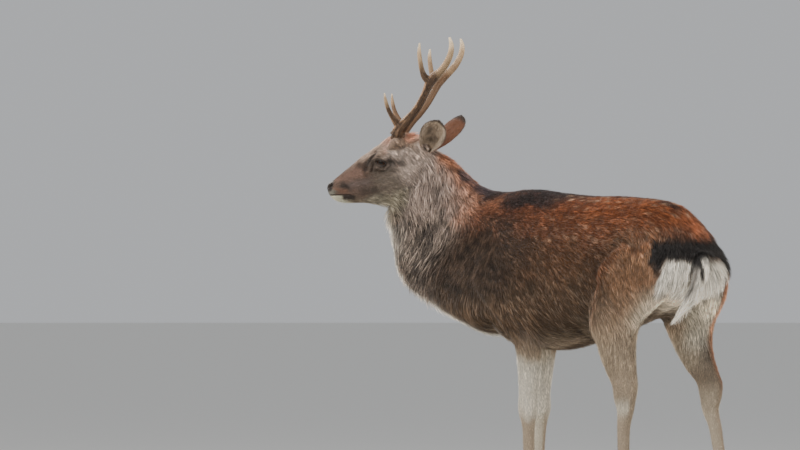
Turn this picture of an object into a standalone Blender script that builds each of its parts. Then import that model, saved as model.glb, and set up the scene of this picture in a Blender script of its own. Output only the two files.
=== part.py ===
"""A sika deer stag, standing still with its head turned, life size.

The stag faces -X, its left side is -Y and the floor is z = 0. Lengths are in metres.
Each body part is a loft of cross-sections. The lofts of flesh are fused into one body,
softened, thinned, and then parted by thin cuts into the pieces that a person would name.
"""

import math

import bmesh
import bpy
import numpy as np
from mathutils import Matrix, Vector
from mathutils.bvhtree import BVHTree

# ---- driving dimensions ---------------------------------------------------------------
SHIFT = Vector((-0.028, 0.020, 0.0))  # moves the withers so that the origin is mid-footprint
CUT = 0.0005  # width of the parting cuts
CLEARANCE = 0.0004  # gap round a piece that is set into another

HEAD_NOSE = Vector((-0.553, -0.185, 0.8455))  # foremost point of the nose
HEAD_YAW = math.radians(35)  # turned to the stag's left
HEAD_PITCH = math.radians(15)  # the head's axis falls towards the nose
HEAD_LENGTH = 0.275
EYE_AT = (0.152, 0.029, 0.0445)  # back from the nose, up, out from the midline
EYE_RADIUS = 0.0168
PEDICLE_AT = (0.2170, 0.086, 0.0385)
EAR_AT = (0.283, 0.036, 0.038)
EAR_LENGTH = 0.148
EAR_WIDTH = 0.068

EAR_POINTS = {"left": (0.46, 0.41, 0.82), "right": (0.66, 0.40, 0.55)}  # back, up, out
EAR_FACES = {"left": (-0.35, -0.55, 0.75), "right": (0.00, -0.85, 0.60)}

HOOF_HEIGHT = 0.044
HOOF_LENGTH = 0.062
HOOF_WIDTH = 0.0245
CLEFT = 0.0022  # half the gap between the two claws of a foot
CORONET_SLOPE = 0.30  # how much the top of a hoof rises towards the toe

FLESH_VOXEL = 0.0045
FLESH_TRIANGLES = 3230

SIDES = {"left": -1.0, "right": 1.0}

HEAD_FORWARD = Vector((
    -math.cos(HEAD_YAW) * math.cos(HEAD_PITCH),
    -math.sin(HEAD_YAW) * math.cos(HEAD_PITCH),
    -math.sin(HEAD_PITCH),
))
HEAD_LEFT = Vector((math.sin(HEAD_YAW), -math.cos(HEAD_YAW), 0.0))
HEAD_UP = HEAD_LEFT.cross(-HEAD_FORWARD).normalized()


# ---- materials ------------------------------------------------------------------------
def material(name, colour, roughness):
    """A Principled BSDF of one colour."""
    made = bpy.data.materials.new(name)
    made.use_nodes = True
    shader = made.node_tree.nodes["Principled BSDF"]
    shader.inputs["Base Color"].default_value = (*colour, 1.0)
    shader.inputs["Roughness"].default_value = roughness
    shader.inputs["Metallic"].default_value = 0.0
    made.diffuse_color = (*colour, 1.0)
    return made


def palette():
    """The materials by name."""
    return {
        "coat_chestnut": material("coat_chestnut", (0.30, 0.135, 0.065), 0.85),
        "coat_mane": material("coat_mane", (0.235, 0.185, 0.150), 0.85),
        "coat_face": material("coat_face", (0.300, 0.235, 0.200), 0.80),
        "coat_leg": material("coat_leg", (0.330, 0.245, 0.180), 0.85),
        "coat_white": material("coat_white", (0.800, 0.765, 0.720), 0.85),
        "antler": material("antler", (0.400, 0.285, 0.180), 0.50),
        "horn": material("horn", (0.055, 0.045, 0.040), 0.45),
        "eye": material("eye", (0.020, 0.010, 0.006), 0.06),
    }


# ---- numbers to meshes ----------------------------------------------------------------
def flowing(rows, steps):
    """Catmull-Rom curve through the rows, with this many steps from each row to the next."""
    rows = np.array(rows, float)
    padded = np.vstack([2 * rows[0] - rows[1], rows, 2 * rows[-1] - rows[-2]])
    t = np.linspace(0, 1, steps, endpoint=False)[:, None]
    pieces = []
    for p0, p1, p2, p3 in zip(padded, padded[1:], padded[2:], padded[3:]):
        pieces.append(0.5 * (
            2 * p1 + (p2 - p0) * t + (2 * p0 - 5 * p1 + 4 * p2 - p3) * t**2
            + (3 * p1 - p0 - 3 * p2 + p3) * t**3
        ))
    return np.vstack([*pieces, rows[-1:]])


def rounded(angles, fullness):
    """Cosine and sine of a superellipse: fullness 2 is an ellipse and 3 is boxier."""
    c, s = np.cos(angles), np.sin(angles)
    return (
        np.sign(c) * np.abs(c) ** (2 / fullness),
        np.sign(s) * np.abs(s) ** (2 / fullness),
    )


def object_of(name, mesh, collection):
    made = bpy.data.objects.new(name, mesh)
    collection.objects.link(made)
    return made


def tube(name, rings, collection):
    """A closed tube through rings of points, its ends closed by a fan on a middle point."""
    rings = np.array(rings)
    count, around = rings.shape[:2]
    bm = bmesh.new()
    rows = [[bm.verts.new(p) for p in ring] for ring in rings]
    for low, high in zip(rows, rows[1:]):
        for i in range(around):
            j = (i + 1) % around
            bm.faces.new((low[i], low[j], high[j]))
            bm.faces.new((low[i], high[j], high[i]))
    for row, ring, flip in ((rows[0], rings[0], True), (rows[-1], rings[-1], False)):
        middle = bm.verts.new(ring.mean(axis=0))
        for i in range(around):
            pair = (row[i], row[(i + 1) % around])
            bm.faces.new((middle, *(pair[::-1] if flip else pair)))
    bmesh.ops.recalc_face_normals(bm, faces=bm.faces)
    mesh = bpy.data.meshes.new(name)
    bm.to_mesh(mesh)
    bm.free()
    return object_of(name, mesh, collection)


def loft(name, stations, axes, collection, steps=5, around=28):
    """A loft of stations: middle (3 numbers), front, back, side half-widths and fullness.

    axes gives each station's front and side directions, which stay the same along it.
    """
    front, side = (np.array(a, float) for a in axes)
    rows = flowing(stations, steps)
    angles = np.linspace(0, 2 * math.pi, around, endpoint=False)
    rings = []
    for row in rows:
        c, s = rounded(angles, row[6])
        reach = np.where(c > 0, max(row[3], 1e-4), max(row[4], 1e-4))
        rings.append(
            row[:3] + (c * reach)[:, None] * front + (s * max(row[5], 1e-4))[:, None] * side
        )
    return tube(name, rings, collection)


def ball(name, centre, radii, collection, turn=None, segments=(24, 16)):
    """An ellipsoid, its axes turned by a matrix."""
    bm = bmesh.new()
    bmesh.ops.create_uvsphere(bm, u_segments=segments[0], v_segments=segments[1], radius=1.0)
    place = Matrix.Translation(centre) @ (turn or Matrix.Identity(3)).to_4x4()
    bm.transform(place @ Matrix.Diagonal((*radii, 1.0)))
    mesh = bpy.data.meshes.new(name)
    bm.to_mesh(mesh)
    bm.free()
    return object_of(name, mesh, collection)


def plate(name, middle, normal, reach, collection, thick=CUT):
    """A thin square plate across a normal: one parting cut, or with a thick one a half space."""
    bm = bmesh.new()
    bmesh.ops.create_cube(bm, size=1.0)
    turn = Vector(normal).to_track_quat("Z", "Y").to_matrix().to_4x4()
    size = Matrix.Diagonal((reach, reach, thick, 1.0))
    bm.transform(Matrix.Translation(middle) @ turn @ size)
    mesh = bpy.data.meshes.new(name)
    bm.to_mesh(mesh)
    bm.free()
    return object_of(name, mesh, collection)


def evaluated(obj):
    """A new mesh with the object's modifiers applied and its transform kept in the points."""
    bpy.context.view_layer.update()
    graph = bpy.context.evaluated_depsgraph_get()
    mesh = bpy.data.meshes.new_from_object(obj.evaluated_get(graph))
    mesh.transform(obj.matrix_world)
    return mesh


def settle(obj):
    """Applies an object's modifiers."""
    mesh = evaluated(obj)
    obj.modifiers.clear()
    obj.data = mesh
    obj.matrix_world = Matrix.Identity(4)


def joined(name, objects, collection):
    """One object of all these, as loose shells."""
    bm = bmesh.new()
    for obj in objects:
        bm.from_mesh(obj.data)
        bpy.data.objects.remove(obj)
    mesh = bpy.data.meshes.new(name)
    bm.to_mesh(mesh)
    bm.free()
    return object_of(name, mesh, collection)


def boolean(obj, other, operation):
    """Cuts or joins another object into this one, and applies it."""
    modifier = obj.modifiers.new(operation.lower(), "BOOLEAN")
    modifier.operation = operation
    modifier.object = other
    settle(obj)
    bpy.data.objects.remove(other)


def remeshed(obj, voxel):
    modifier = obj.modifiers.new("fuse", "REMESH")
    modifier.mode = "VOXEL"
    modifier.voxel_size = voxel
    settle(obj)


def weights(obj, name, rule):
    """A vertex group whose weight at a point is rule(point)."""
    group = obj.vertex_groups.new(name=name)
    for vertex in obj.data.vertices:
        group.add([vertex.index], rule(vertex.co), "REPLACE")
    return name


def softened(obj, passes, rule):
    modifier = obj.modifiers.new("soften", "SMOOTH")
    modifier.iterations = passes
    modifier.factor = 0.5
    modifier.vertex_group = weights(obj, "soften", rule)
    settle(obj)


def thinned(obj, triangles, rule=None):
    """Fewer triangles, with more of them kept where rule(point) is near 0."""
    modifier = obj.modifiers.new("thin", "DECIMATE")
    faces = sum(len(p.vertices) - 2 for p in obj.data.polygons)
    modifier.ratio = min(1.0, triangles / faces)
    if rule:
        modifier.vertex_group = weights(obj, "thin", rule)
        modifier.vertex_group_factor = 2.0
    settle(obj)


def loose_shells(obj):
    """Splits a mesh into its separate shells and returns them as meshes."""
    bm = bmesh.new()
    bm.from_mesh(obj.data)
    unseen = set(bm.verts)
    shells = []
    while unseen:
        shell = {unseen.pop()}
        edge = list(shell)
        while edge:
            near = {e.other_vert(v) for v in edge for e in v.link_edges} - shell
            shell |= near
            edge = list(near)
        unseen -= shell
        shells.append({v.index for v in shell})
    bm.free()
    meshes = []
    for shell in shells:
        bm = bmesh.new()
        bm.from_mesh(obj.data)
        bm.verts.ensure_lookup_table()
        spare = [v for v in bm.verts if v.index not in shell]
        bmesh.ops.delete(bm, geom=spare, context="VERTS")
        mesh = bpy.data.meshes.new("shell")
        bm.to_mesh(mesh)
        bm.free()
        meshes.append(mesh)
    return meshes


def part_by_cuts(obj, cuts, inside, collection):
    """Cuts an object with plates and names each piece by the point of inside nearest its middle."""
    boolean(obj, joined("cuts", cuts, collection), "DIFFERENCE")
    pieces = {}
    for mesh in loose_shells(obj):
        middle = sum((v.co for v in mesh.vertices), Vector()) / len(mesh.vertices)
        name = min(inside, key=lambda n: (inside[n] - middle).length)
        pieces.setdefault(name, []).append(mesh)
    bpy.data.objects.remove(obj)
    return {
        name: object_of(name, max(meshes, key=lambda m: len(m.vertices)), collection)
        for name, meshes in pieces.items()
    }


def head_point(back, up, left):
    """A point of the head, from its distances back from the nose, up and to the left."""
    return HEAD_NOSE - HEAD_FORWARD * back + HEAD_UP * up + HEAD_LEFT * left


# ---- the flesh ------------------------------------------------------------------------
def upright_loft(name, rows, collection):
    """A loft along the spine from rows of x, top, bottom, half-width and the back's fullness."""
    angles = np.linspace(0, 2 * math.pi, 36, endpoint=False)
    rings = []
    for x, top, bottom, wide, full in flowing(rows, 5):
        middle = bottom + 0.52 * (top - bottom)
        above, below = rounded(angles, full), rounded(angles, 2.25)
        back = np.cos(angles) > 0
        rise = np.where(back, above[0] * (top - middle), below[0] * (middle - bottom))
        side = np.where(back, above[1], below[1]) * wide
        rings.append(np.stack([np.full_like(rise, x), side, middle + rise], axis=1))
    return tube(name, rings, collection)


def trunk(collection):
    """The barrel, from the brisket to the rump."""
    return upright_loft("trunk", (
        (-0.215, 0.752, 0.620, 0.040, 2.0),
        (-0.170, 0.808, 0.535, 0.088, 2.0),
        (-0.090, 0.838, 0.462, 0.122, 2.0),
        (0.000, 0.847, 0.440, 0.138, 2.0),
        (0.100, 0.837, 0.431, 0.150, 2.1),
        (0.200, 0.829, 0.450, 0.154, 2.2),
        (0.300, 0.828, 0.480, 0.150, 2.2),
        (0.400, 0.8215, 0.515, 0.146, 2.1),
        (0.450, 0.814, 0.535, 0.141, 1.95),
        (0.480, 0.798, 0.545, 0.138, 1.9),
        (0.520, 0.758, 0.560, 0.132, 1.9),
        (0.550, 0.716, 0.575, 0.122, 1.9),
        (0.572, 0.685, 0.590, 0.096, 2.0),
        (0.586, 0.655, 0.615, 0.045, 2.0),
    ), collection)


def neck(collection):
    """The neck in its winter mane: rows of nape point, throat point and half-width."""
    rows = (
        ((0.070, 0.000, 0.790), (-0.030, 0.000, 0.520), 0.090),
        ((0.020, 0.000, 0.836), (-0.140, 0.000, 0.468), 0.116),
        ((-0.115, 0.000, 0.842), (-0.315, 0.000, 0.538), 0.112),
        ((-0.165, -0.003, 0.850), (-0.425, 0.000, 0.607), 0.102),
        ((-0.205, -0.010, 0.871), (-0.468, -0.008, 0.692), 0.092),
        ((-0.238, -0.018, 0.899), (-0.457, -0.022, 0.760), 0.083),
        ((-0.274, -0.030, 0.930), (-0.427, -0.045, 0.812), 0.070),
        ((-0.320, -0.048, 0.962), (-0.405, -0.070, 0.865), 0.050),
    )
    rings = []
    angles = np.linspace(0, 2 * math.pi, 32, endpoint=False)
    c, s = rounded(angles, 2.1)
    flat = [(*nape, *throat, wide) for nape, throat, wide in rows]
    for row in flowing(flat, 6):
        nape, throat, wide = row[:3], row[3:6], row[6]
        middle, half = (nape + throat) / 2, (nape - throat) / 2
        lean = 1 - 0.25 * c  # the nape is narrower than the throat
        rings.append(middle + c[:, None] * half + (s * lean * wide)[:, None] * np.array((0, 1, 0)))
    return tube("neck", rings, collection)


def head_block(collection):
    """Skull and muzzle: rows of distance back from the nose, top, bottom, half-width, fullness."""
    rows = (
        (0.000, 0.004, -0.012, 0.009, 2.0),
        (0.005, 0.0125, -0.024, 0.0185, 2.2),
        (0.014, 0.0180, -0.035, 0.0235, 2.3),
        (0.030, 0.0235, -0.045, 0.0260, 2.3),
        (0.052, 0.0335, -0.0515, 0.0275, 2.3),
        (0.078, 0.0450, -0.0580, 0.0305, 2.3),
        (0.104, 0.0580, -0.0650, 0.0360, 2.2),
        (0.130, 0.0665, -0.0720, 0.0430, 2.2),
        (0.156, 0.0765, -0.0760, 0.0480, 2.2),
        (0.182, 0.0880, -0.0770, 0.0500, 2.2),
        (0.208, 0.0935, -0.0700, 0.0500, 2.2),
        (0.234, 0.0900, -0.0560, 0.0480, 2.1),
        (0.260, 0.0740, -0.0380, 0.0430, 2.0),
        (HEAD_LENGTH + 0.015, 0.0350, -0.0050, 0.0250, 2.0),
    )
    stations = []
    for back, top, bottom, wide, full in rows:
        middle = bottom + 0.55 * (top - bottom)
        stations.append((*head_point(back, middle, 0), top - middle, middle - bottom, wide, full))
    return loft("skull", stations, (HEAD_UP, HEAD_LEFT), collection, around=32)


def head_ball(name, at, radii, left, collection, segments=(24, 16)):
    """An ellipsoid on one side of the head, its axes along, across and up the head."""
    turn = Matrix((-HEAD_FORWARD, HEAD_LEFT, HEAD_UP)).transposed()
    return ball(name, head_point(at[0], at[1], at[2] * left), radii, collection, turn, segments)


def head_masses(side, collection):
    """Brow and eye socket, cheek, and the pedicle that carries an antler."""
    left = -SIDES[side]
    brow = head_ball("orbit", (0.153, 0.034, 0.041), (0.033, 0.021, 0.026), left, collection)
    cheek = head_ball("cheek", (0.180, -0.022, 0.034), (0.050, 0.020, 0.044), left, collection)
    lip = head_ball("lip", (0.024, -0.010, 0.0145), (0.021, 0.0125, 0.0155), left, collection)
    foot, crown = (0.205, 0.058, 0.030), PEDICLE_AT
    stations = [
        (*head_point(*(f + (c - f) * t for f, c in zip(foot[:2], crown[:2])),
                     left * (foot[2] + (crown[2] - foot[2]) * t)), r, r, r, 2.0)
        for t, r in ((0.0, 0.027), (0.5, 0.0235), (0.9, 0.0210), (1.0, 0.019))
    ]
    stump = loft("pedicle", stations, (-HEAD_FORWARD, HEAD_LEFT), collection, around=20)
    ear_root = head_ball("ear_root", (0.262, 0.040, 0.034), (0.030, 0.021, 0.027), left, collection)
    return [brow, cheek, lip, stump, ear_root]


def leg_loft(name, rows, side, collection, steps=5, around=20):
    """A leg from rows of x, distance from the midline, z, front, back, half-width, fullness."""
    y = SIDES[side]
    stations = [(x, out * y, z, fore, rear, wide, full) for x, out, z, fore, rear, wide, full in rows]
    return loft(name, stations, ((-1, 0, 0), (0, 1, 0)), collection, steps, around)


def shank_rows(top_x, foot_x, out, knee_z):
    """Cannon, fetlock and pastern, from just under the knee or hock down to the hoof."""
    def at(z):
        return foot_x + (top_x - foot_x) * max(0.0, (z - FETLOCK_Z) / (knee_z - FETLOCK_Z))
    return (
        (at(0.235), out, 0.235, 0.0185, 0.0200, 0.0175, 2.1),
        (at(0.180), out, 0.180, 0.0168, 0.0190, 0.0160, 2.1),
        (at(0.135), out, 0.135, 0.0175, 0.0205, 0.0175, 2.1),
        (foot_x, out, FETLOCK_Z, 0.0210, 0.0240, 0.0210, 2.0),
        (foot_x - 0.008, out, 0.082, 0.0185, 0.0190, 0.0190, 2.0),
        (foot_x - 0.019, out, 0.058, 0.0195, 0.0190, 0.0200, 2.1),
        (foot_x - 0.027, out, 0.040, 0.0235, 0.0225, 0.0235, 2.3),
        (foot_x - 0.030, out, 0.022, 0.0245, 0.0225, 0.0235, 2.3),
    )


FETLOCK_Z = 0.106
FORE = {  # shoulder x, knee x, fetlock x, distance from the midline
    "left": (-0.025, 0.046, 0.048, 0.078),
    "right": (-0.035, -0.048, -0.062, 0.078),
}
HIND = {  # stifle x, hock x and z, fetlock x, distance from the midline
    "left": (0.337, 0.387, 0.335, 0.384, 0.098),
    "right": (0.392, 0.506, 0.340, 0.552, 0.096),
}


def foreleg(side, collection):
    """Shoulder, forearm, knee, cannon and pastern of a foreleg."""
    shoulder, knee, foot, out = FORE[side]
    mid = (shoulder + knee) / 2
    rows = (
        (shoulder + 0.030, 0.070, 0.750, 0.040, 0.045, 0.040, 2.0),
        (shoulder + 0.005, 0.086, 0.690, 0.075, 0.085, 0.050, 2.1),
        (shoulder - 0.015, 0.092, 0.610, 0.085, 0.090, 0.053, 2.1),
        (mid - 0.010, 0.090, 0.540, 0.070, 0.080, 0.048, 2.1),
        (mid + 0.008, out + 0.008, 0.490, 0.050, 0.060, 0.041, 2.1),
        (knee + 0.002, out + 0.004, 0.440, 0.038, 0.043, 0.034, 2.1),
        (knee + 0.002, out, 0.380, 0.031, 0.033, 0.0285, 2.1),
        (knee, out, 0.320, 0.0260, 0.0255, 0.0250, 2.1),
        (knee, out, 0.280, 0.0270, 0.0255, 0.0265, 2.2),
        *shank_rows(knee, foot, out, 0.280),
    )
    return leg_loft("foreleg", rows, side, collection)


def hindleg(side, collection):
    """Haunch, thigh, gaskin, hock, cannon and pastern of a hind leg."""
    stifle, hock, hock_z, foot, out = HIND[side]
    def between(t):
        return stifle + (hock - stifle) * t
    rows = (
        (0.460, 0.060, 0.745, 0.080, 0.045, 0.040, 2.0),
        (0.450, 0.080, 0.690, 0.120, 0.095, 0.060, 2.1),
        (0.440, 0.089, 0.630, 0.128, 0.122, 0.066, 2.2),
        (stifle * 0.55 + 0.190, 0.095, 0.570, 0.095, 0.150, 0.062, 2.2),
        (between(0.20), out + 0.006, 0.505, 0.062, 0.100, 0.050, 2.1),
        (between(0.48), out + 0.002, 0.445, 0.056, 0.064, 0.039, 2.1),
        (between(0.75), out, 0.392, 0.048, 0.050, 0.032, 2.1),
        (between(0.96), out, hock_z + 0.012, 0.0330, 0.0450, 0.0270, 2.1),
        (between(1.02), out, hock_z - 0.022, 0.0280, 0.0360, 0.0255, 2.1),
        (hock + 0.004, out, hock_z - 0.058, 0.0225, 0.0250, 0.0210, 2.1),
        *shank_rows(hock, foot, out, hock_z),
    )
    return leg_loft("hindleg", rows, side, collection)


def leg_room(side, rows, grow, collection):
    """The room that a leg is parted from the body by: a wide loft round it, with a domed top."""
    wider = [
        (x, out, z + (grow if i == 0 else 0), fore + grow, rear + grow, wide + grow, full)
        for i, (x, out, z, fore, rear, wide, full) in enumerate(rows)
    ]
    return leg_loft("room", wider, side, collection, steps=1, around=12)


def foreleg_room(side, grow, collection):
    _, knee, foot, out = FORE[side]
    return leg_room(side, (
        (-0.030, 0.135, 0.650, 0.012, 0.012, 0.012, 2.0),
        (-0.028, 0.132, 0.638, 0.060, 0.060, 0.050, 2.0),
        (-0.025, 0.125, 0.590, 0.098, 0.098, 0.080, 2.1),
        (-0.010, 0.118, 0.530, 0.105, 0.105, 0.083, 2.2),
        (knee * 0.7, 0.112, 0.470, 0.085, 0.085, 0.076, 2.2),
        (knee, out + 0.012, 0.400, 0.075, 0.075, 0.068, 2.2),
        (foot, out, -0.030, 0.090, 0.075, 0.068, 2.2),
    ), grow, collection)


def hindleg_room(side, grow, collection):
    stifle, hock, _, foot, out = HIND[side]
    return leg_room(side, (
        (0.445, 0.155, 0.730, 0.015, 0.015, 0.012, 2.0),
        (0.445, 0.150, 0.716, 0.070, 0.070, 0.055, 2.0),
        (0.445, 0.135, 0.660, 0.125, 0.145, 0.098, 2.1),
        (0.438, 0.125, 0.600, 0.145, 0.190, 0.105, 2.2),
        (stifle * 0.6 + 0.165, 0.115, 0.530, 0.108, 0.180, 0.094, 2.2),
        (stifle + 0.010, out + 0.008, 0.470, 0.080, 0.140, 0.080, 2.2),
        (hock, out, 0.360, 0.110, 0.110, 0.075, 2.2),
        (foot, out, -0.030, 0.110, 0.100, 0.072, 2.2),
    ), grow, collection)


def tail(collection, grow=0.0):
    """The short tail, hanging from the rump and swung a little to the left."""
    rows = (
        (0.540, 0.000, 0.700, 0.014, 0.014, 0.018, 2.0),
        (0.574, 0.000, 0.684, 0.017, 0.017, 0.026, 2.0),
        (0.594, -0.012, 0.648, 0.015, 0.016, 0.033, 2.0),
        (0.601, -0.032, 0.602, 0.013, 0.014, 0.036, 2.0),
        (0.597, -0.054, 0.558, 0.011, 0.012, 0.031, 2.0),
        (0.589, -0.073, 0.522, 0.009, 0.009, 0.020, 2.0),
        (0.585, -0.082, 0.502, 0.004, 0.004, 0.007, 2.0),
    )
    rows = [(x, y, z, f + grow, r + grow, w + grow, n) for x, y, z, f, r, w, n in rows]
    return loft("tail", rows, ((-1, 0, 0), (0, 1, 0)), collection, steps=2, around=10)


def on_head(point):
    """How far back from the nose a point of the head is, or None away from the head."""
    arm = point - HEAD_NOSE
    back, up, out = -arm.dot(HEAD_FORWARD), arm.dot(HEAD_UP), arm.dot(HEAD_LEFT)
    return back if back < 0.255 and up > -0.085 and abs(out) < 0.09 else None


def soft_share(point):
    """How much the fused surface is softened: less on the slim legs and on the head."""
    back = on_head(point)
    if back is not None:
        return 0.12 if back < 0.12 else 0.45
    return 0.10 if point.z < 0.44 else 0.9


def thin_share(point):
    """How readily triangles are dropped: least on the head and the lower legs."""
    if on_head(point) is not None:
        return 0.12
    return 0.65 if point.z < 0.45 else 0.9


def fused_flesh(collection):
    """All the flesh as one closed surface."""
    pieces = [trunk(collection), neck(collection), head_block(collection)]
    for side in SIDES:
        pieces += [foreleg(side, collection), hindleg(side, collection)]
        pieces += head_masses(side, collection)
    body = joined("flesh", pieces, collection)
    remeshed(body, FLESH_VOXEL)
    softened(body, 16, soft_share)
    thinned(body, FLESH_TRIANGLES, thin_share)
    return body


def copy_of(obj, collection):
    return object_of(obj.name + "_copy", obj.data.copy(), collection)


def swollen(obj, by, collection):
    """A copy of an object, grown along its normals: the cutter of its socket."""
    made = copy_of(obj, collection)
    displace = made.modifiers.new("grow", "DISPLACE")
    displace.strength = by
    displace.mid_level = 0.0
    settle(made)
    return made


def seated(host, guest, collection):
    """Cuts room for the guest out of the host, a clearance wider than the guest."""
    boolean(host, swollen(guest, CLEARANCE, collection), "DIFFERENCE")


# ---- feet -----------------------------------------------------------------------------
def feet():
    """Each foot's name, fetlock x and middle y."""
    for side, sign in SIDES.items():
        yield f"foreleg_lower_{side}", FORE[side][2], sign * FORE[side][3]
        yield f"hindleg_lower_{side}", HIND[side][3], sign * HIND[side][4]


def coronet_plane(foot_x):
    """The middle and the upward normal of the plane on which a hoof meets its leg."""
    middle = Vector((foot_x - 0.0275, 0, HOOF_HEIGHT - 0.003))
    return middle, Vector((CORONET_SLOPE, 0, 1)).normalized()


def hoof(name, foot_x, foot_y, inward, collection):
    """One claw of a foot: a wedge, curved outside, flat inside and flat below."""
    middle, _ = coronet_plane(foot_x)
    around = np.linspace(0, 1, 10)
    bm = bmesh.new()
    rows = []
    for t in (0.0, 0.12, 1.0):
        toe = middle.x - HOOF_LENGTH * 0.62 + 0.0135 * t
        heel = middle.x + HOOF_LENGTH * 0.36 + 0.0015 * t
        x = toe + (heel - toe) * (1 - np.cos(np.pi * around)) / 2
        wide = (HOOF_WIDTH - 0.0022) * (0.93 if t == 0 else 1.0 - 0.06 * t)
        y = CLEFT + wide * np.sin(np.pi * around) ** 0.55 * (1 - 0.18 * (1 - around))
        top = middle.z - CUT - CORONET_SLOPE * (x - middle.x)
        row = [bm.verts.new((px, foot_y + inward * py, pz)) for px, py, pz in zip(x, y, t * top)]
        rows.append(row)
    for low, high in zip(rows, rows[1:]):
        for i in range(len(around)):
            j = (i + 1) % len(around)
            bm.faces.new((low[i], low[j], high[j], high[i]))
    bm.faces.new(rows[0][::-1])
    bm.faces.new(rows[-1])
    bmesh.ops.recalc_face_normals(bm, faces=bm.faces)
    mesh = bpy.data.meshes.new(name)
    bm.to_mesh(mesh)
    bm.free()
    return object_of(name, mesh, collection)


def finished_foot(leg, name, foot_x, foot_y, collection):
    """Ends a leg at the coronet and adds two claws and two dewclaws."""
    middle, normal = coronet_plane(foot_x)
    middle.y = foot_y
    below = plate("below", middle - normal * 0.05, normal, 0.2, collection, thick=0.10)
    boolean(leg, below, "DIFFERENCE")
    limb = name.replace("_lower", "")
    made = {}
    for which, inward in (("outer", math.copysign(1, foot_y)), ("inner", -math.copysign(1, foot_y))):
        made[f"hoof_{limb}_{which}"] = hoof("hoof", foot_x, foot_y, inward, collection)
        at = (foot_x + 0.0140, foot_y + inward * 0.0120, FETLOCK_Z - 0.016)
        claw = ball("dewclaw", at, (0.0085, 0.0065, 0.0115), collection, segments=(6, 3))
        seated(leg, claw, collection)
        made[f"dewclaw_{limb}_{which}"] = claw
    return made


# ---- head furniture -------------------------------------------------------------------
def eye(side, collection):
    at = head_point(EYE_AT[0], EYE_AT[1], -SIDES[side] * EYE_AT[2])
    gaze = (HEAD_LEFT * -SIDES[side] + HEAD_FORWARD * 0.25).normalized()
    turn = gaze.to_track_quat("Z", "Y").to_matrix()
    return ball("eye", at, (EYE_RADIUS,) * 3, collection, turn, segments=(12, 8)), gaze


def eye_opening(side, gaze, collection):
    """The slot between the lids, longer than high and tipped down towards the nose."""
    left = -SIDES[side]
    at = head_point(EYE_AT[0], EYE_AT[1], left * EYE_AT[2]) + gaze * 0.018
    along = (-HEAD_FORWARD * math.cos(0.16) + HEAD_UP * math.sin(0.16)).normalized()
    up = gaze.cross(along).normalized()
    turn = Matrix((along, up, gaze)).transposed()
    return ball("opening", at, (0.0140, 0.0105, 0.0150), collection, turn, segments=(12, 6))


def ear(side, collection):
    """A cupped leaf, open outwards, made as a curved sheet with a thickness."""
    left = -SIDES[side]
    long, face = (
        -HEAD_FORWARD * back + HEAD_UP * up + HEAD_LEFT * left * out
        for back, up, out in (EAR_POINTS[side], EAR_FACES[side])
    )
    long.normalize()
    face = (face - long * face.dot(long)).normalized()
    across = long.cross(face).normalized()
    base = head_point(EAR_AT[0], EAR_AT[1], left * EAR_AT[2])
    columns, rows = 7, 8
    bm = bmesh.new()
    grid = []
    for j in range(rows):
        v = j / (rows - 1)
        half = EAR_WIDTH / 2 * (0.42 + 0.58 * math.sin(math.pi * min(1.0, v / 0.9) ** 0.9)) \
            * (1.0 if v < 0.72 else math.cos((v - 0.72) / 0.28 * math.pi / 2) ** 0.6 + 0.10)
        curl = math.radians(125 - 85 * v ** 0.6)
        radius = half / max(0.35, math.sin(min(curl, math.pi / 2)))
        row = []
        for i in range(columns):
            angle = curl * (2 * i / (columns - 1) - 1)
            point = base + long * (EAR_LENGTH * v) + across * (radius * math.sin(angle)) \
                + face * (radius * (1 - math.cos(angle)) - 0.010 + 0.010 * v * v)
            row.append(bm.verts.new(point))
        grid.append(row)
    for low, high in zip(grid, grid[1:]):
        for i in range(columns - 1):
            bm.faces.new((low[i], low[i + 1], high[i + 1], high[i]))
    mesh = bpy.data.meshes.new("ear")
    bm.to_mesh(mesh)
    bm.free()
    made = object_of("ear", mesh, collection)
    solid = made.modifiers.new("thickness", "SOLIDIFY")
    solid.thickness = 0.0036
    solid.offset = 0.0
    settle(made)
    return made


MAIN_BEAM = (  # back, up, out, radius: from the burr through the fork to the rear point
    (0.2160, 0.0868, 0.0385, 0.0175),
    (0.2202, 0.0922, 0.0400, 0.0190),
    (0.2249, 0.0982, 0.0415, 0.0150),
    (0.2347, 0.1056, 0.0440, 0.0135),
    (0.2524, 0.1164, 0.0500, 0.0115),
    (0.2771, 0.1316, 0.0600, 0.0100),
    (0.3014, 0.1514, 0.0710, 0.0095),
    (0.3215, 0.1726, 0.0800, 0.0098),
    (0.3366, 0.1907, 0.0860, 0.0118),
    (0.3541, 0.2041, 0.0895, 0.0125),
    (0.3715, 0.2125, 0.0930, 0.0100),
    (0.3940, 0.2282, 0.1040, 0.0090),
    (0.4128, 0.2496, 0.1140, 0.0078),
    (0.4217, 0.2712, 0.1200, 0.0062),
    (0.4228, 0.2921, 0.1225, 0.0028),
)
FRONT_TINE = (
    (0.3388, 0.1962, 0.0870, 0.0105),
    (0.3308, 0.2111, 0.0915, 0.0088),
    (0.3287, 0.2280, 0.0945, 0.0068),
    (0.3301, 0.2497, 0.0970, 0.0060),
    (0.3339, 0.2752, 0.0990, 0.0052),
    (0.3415, 0.2995, 0.1000, 0.0022),
)
BROW_TINE = (
    (0.2301, 0.1076, 0.0430, 0.0085),
    (0.2240, 0.1185, 0.0470, 0.0082),
    (0.2183, 0.1343, 0.0530, 0.0068),
    (0.2143, 0.1550, 0.0620, 0.0056),
    (0.2140, 0.1768, 0.0700, 0.0046),
    (0.2171, 0.1995, 0.0780, 0.0018),
)
FRONT_TINE_SHORTENED = {"left": 1.0, "right": 0.87}
BEAM_FROM, REAR_TINE_FROM = 8, 18  # ring numbers at which the main beam is parted
RINGS_PER_ROW = 2


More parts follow.
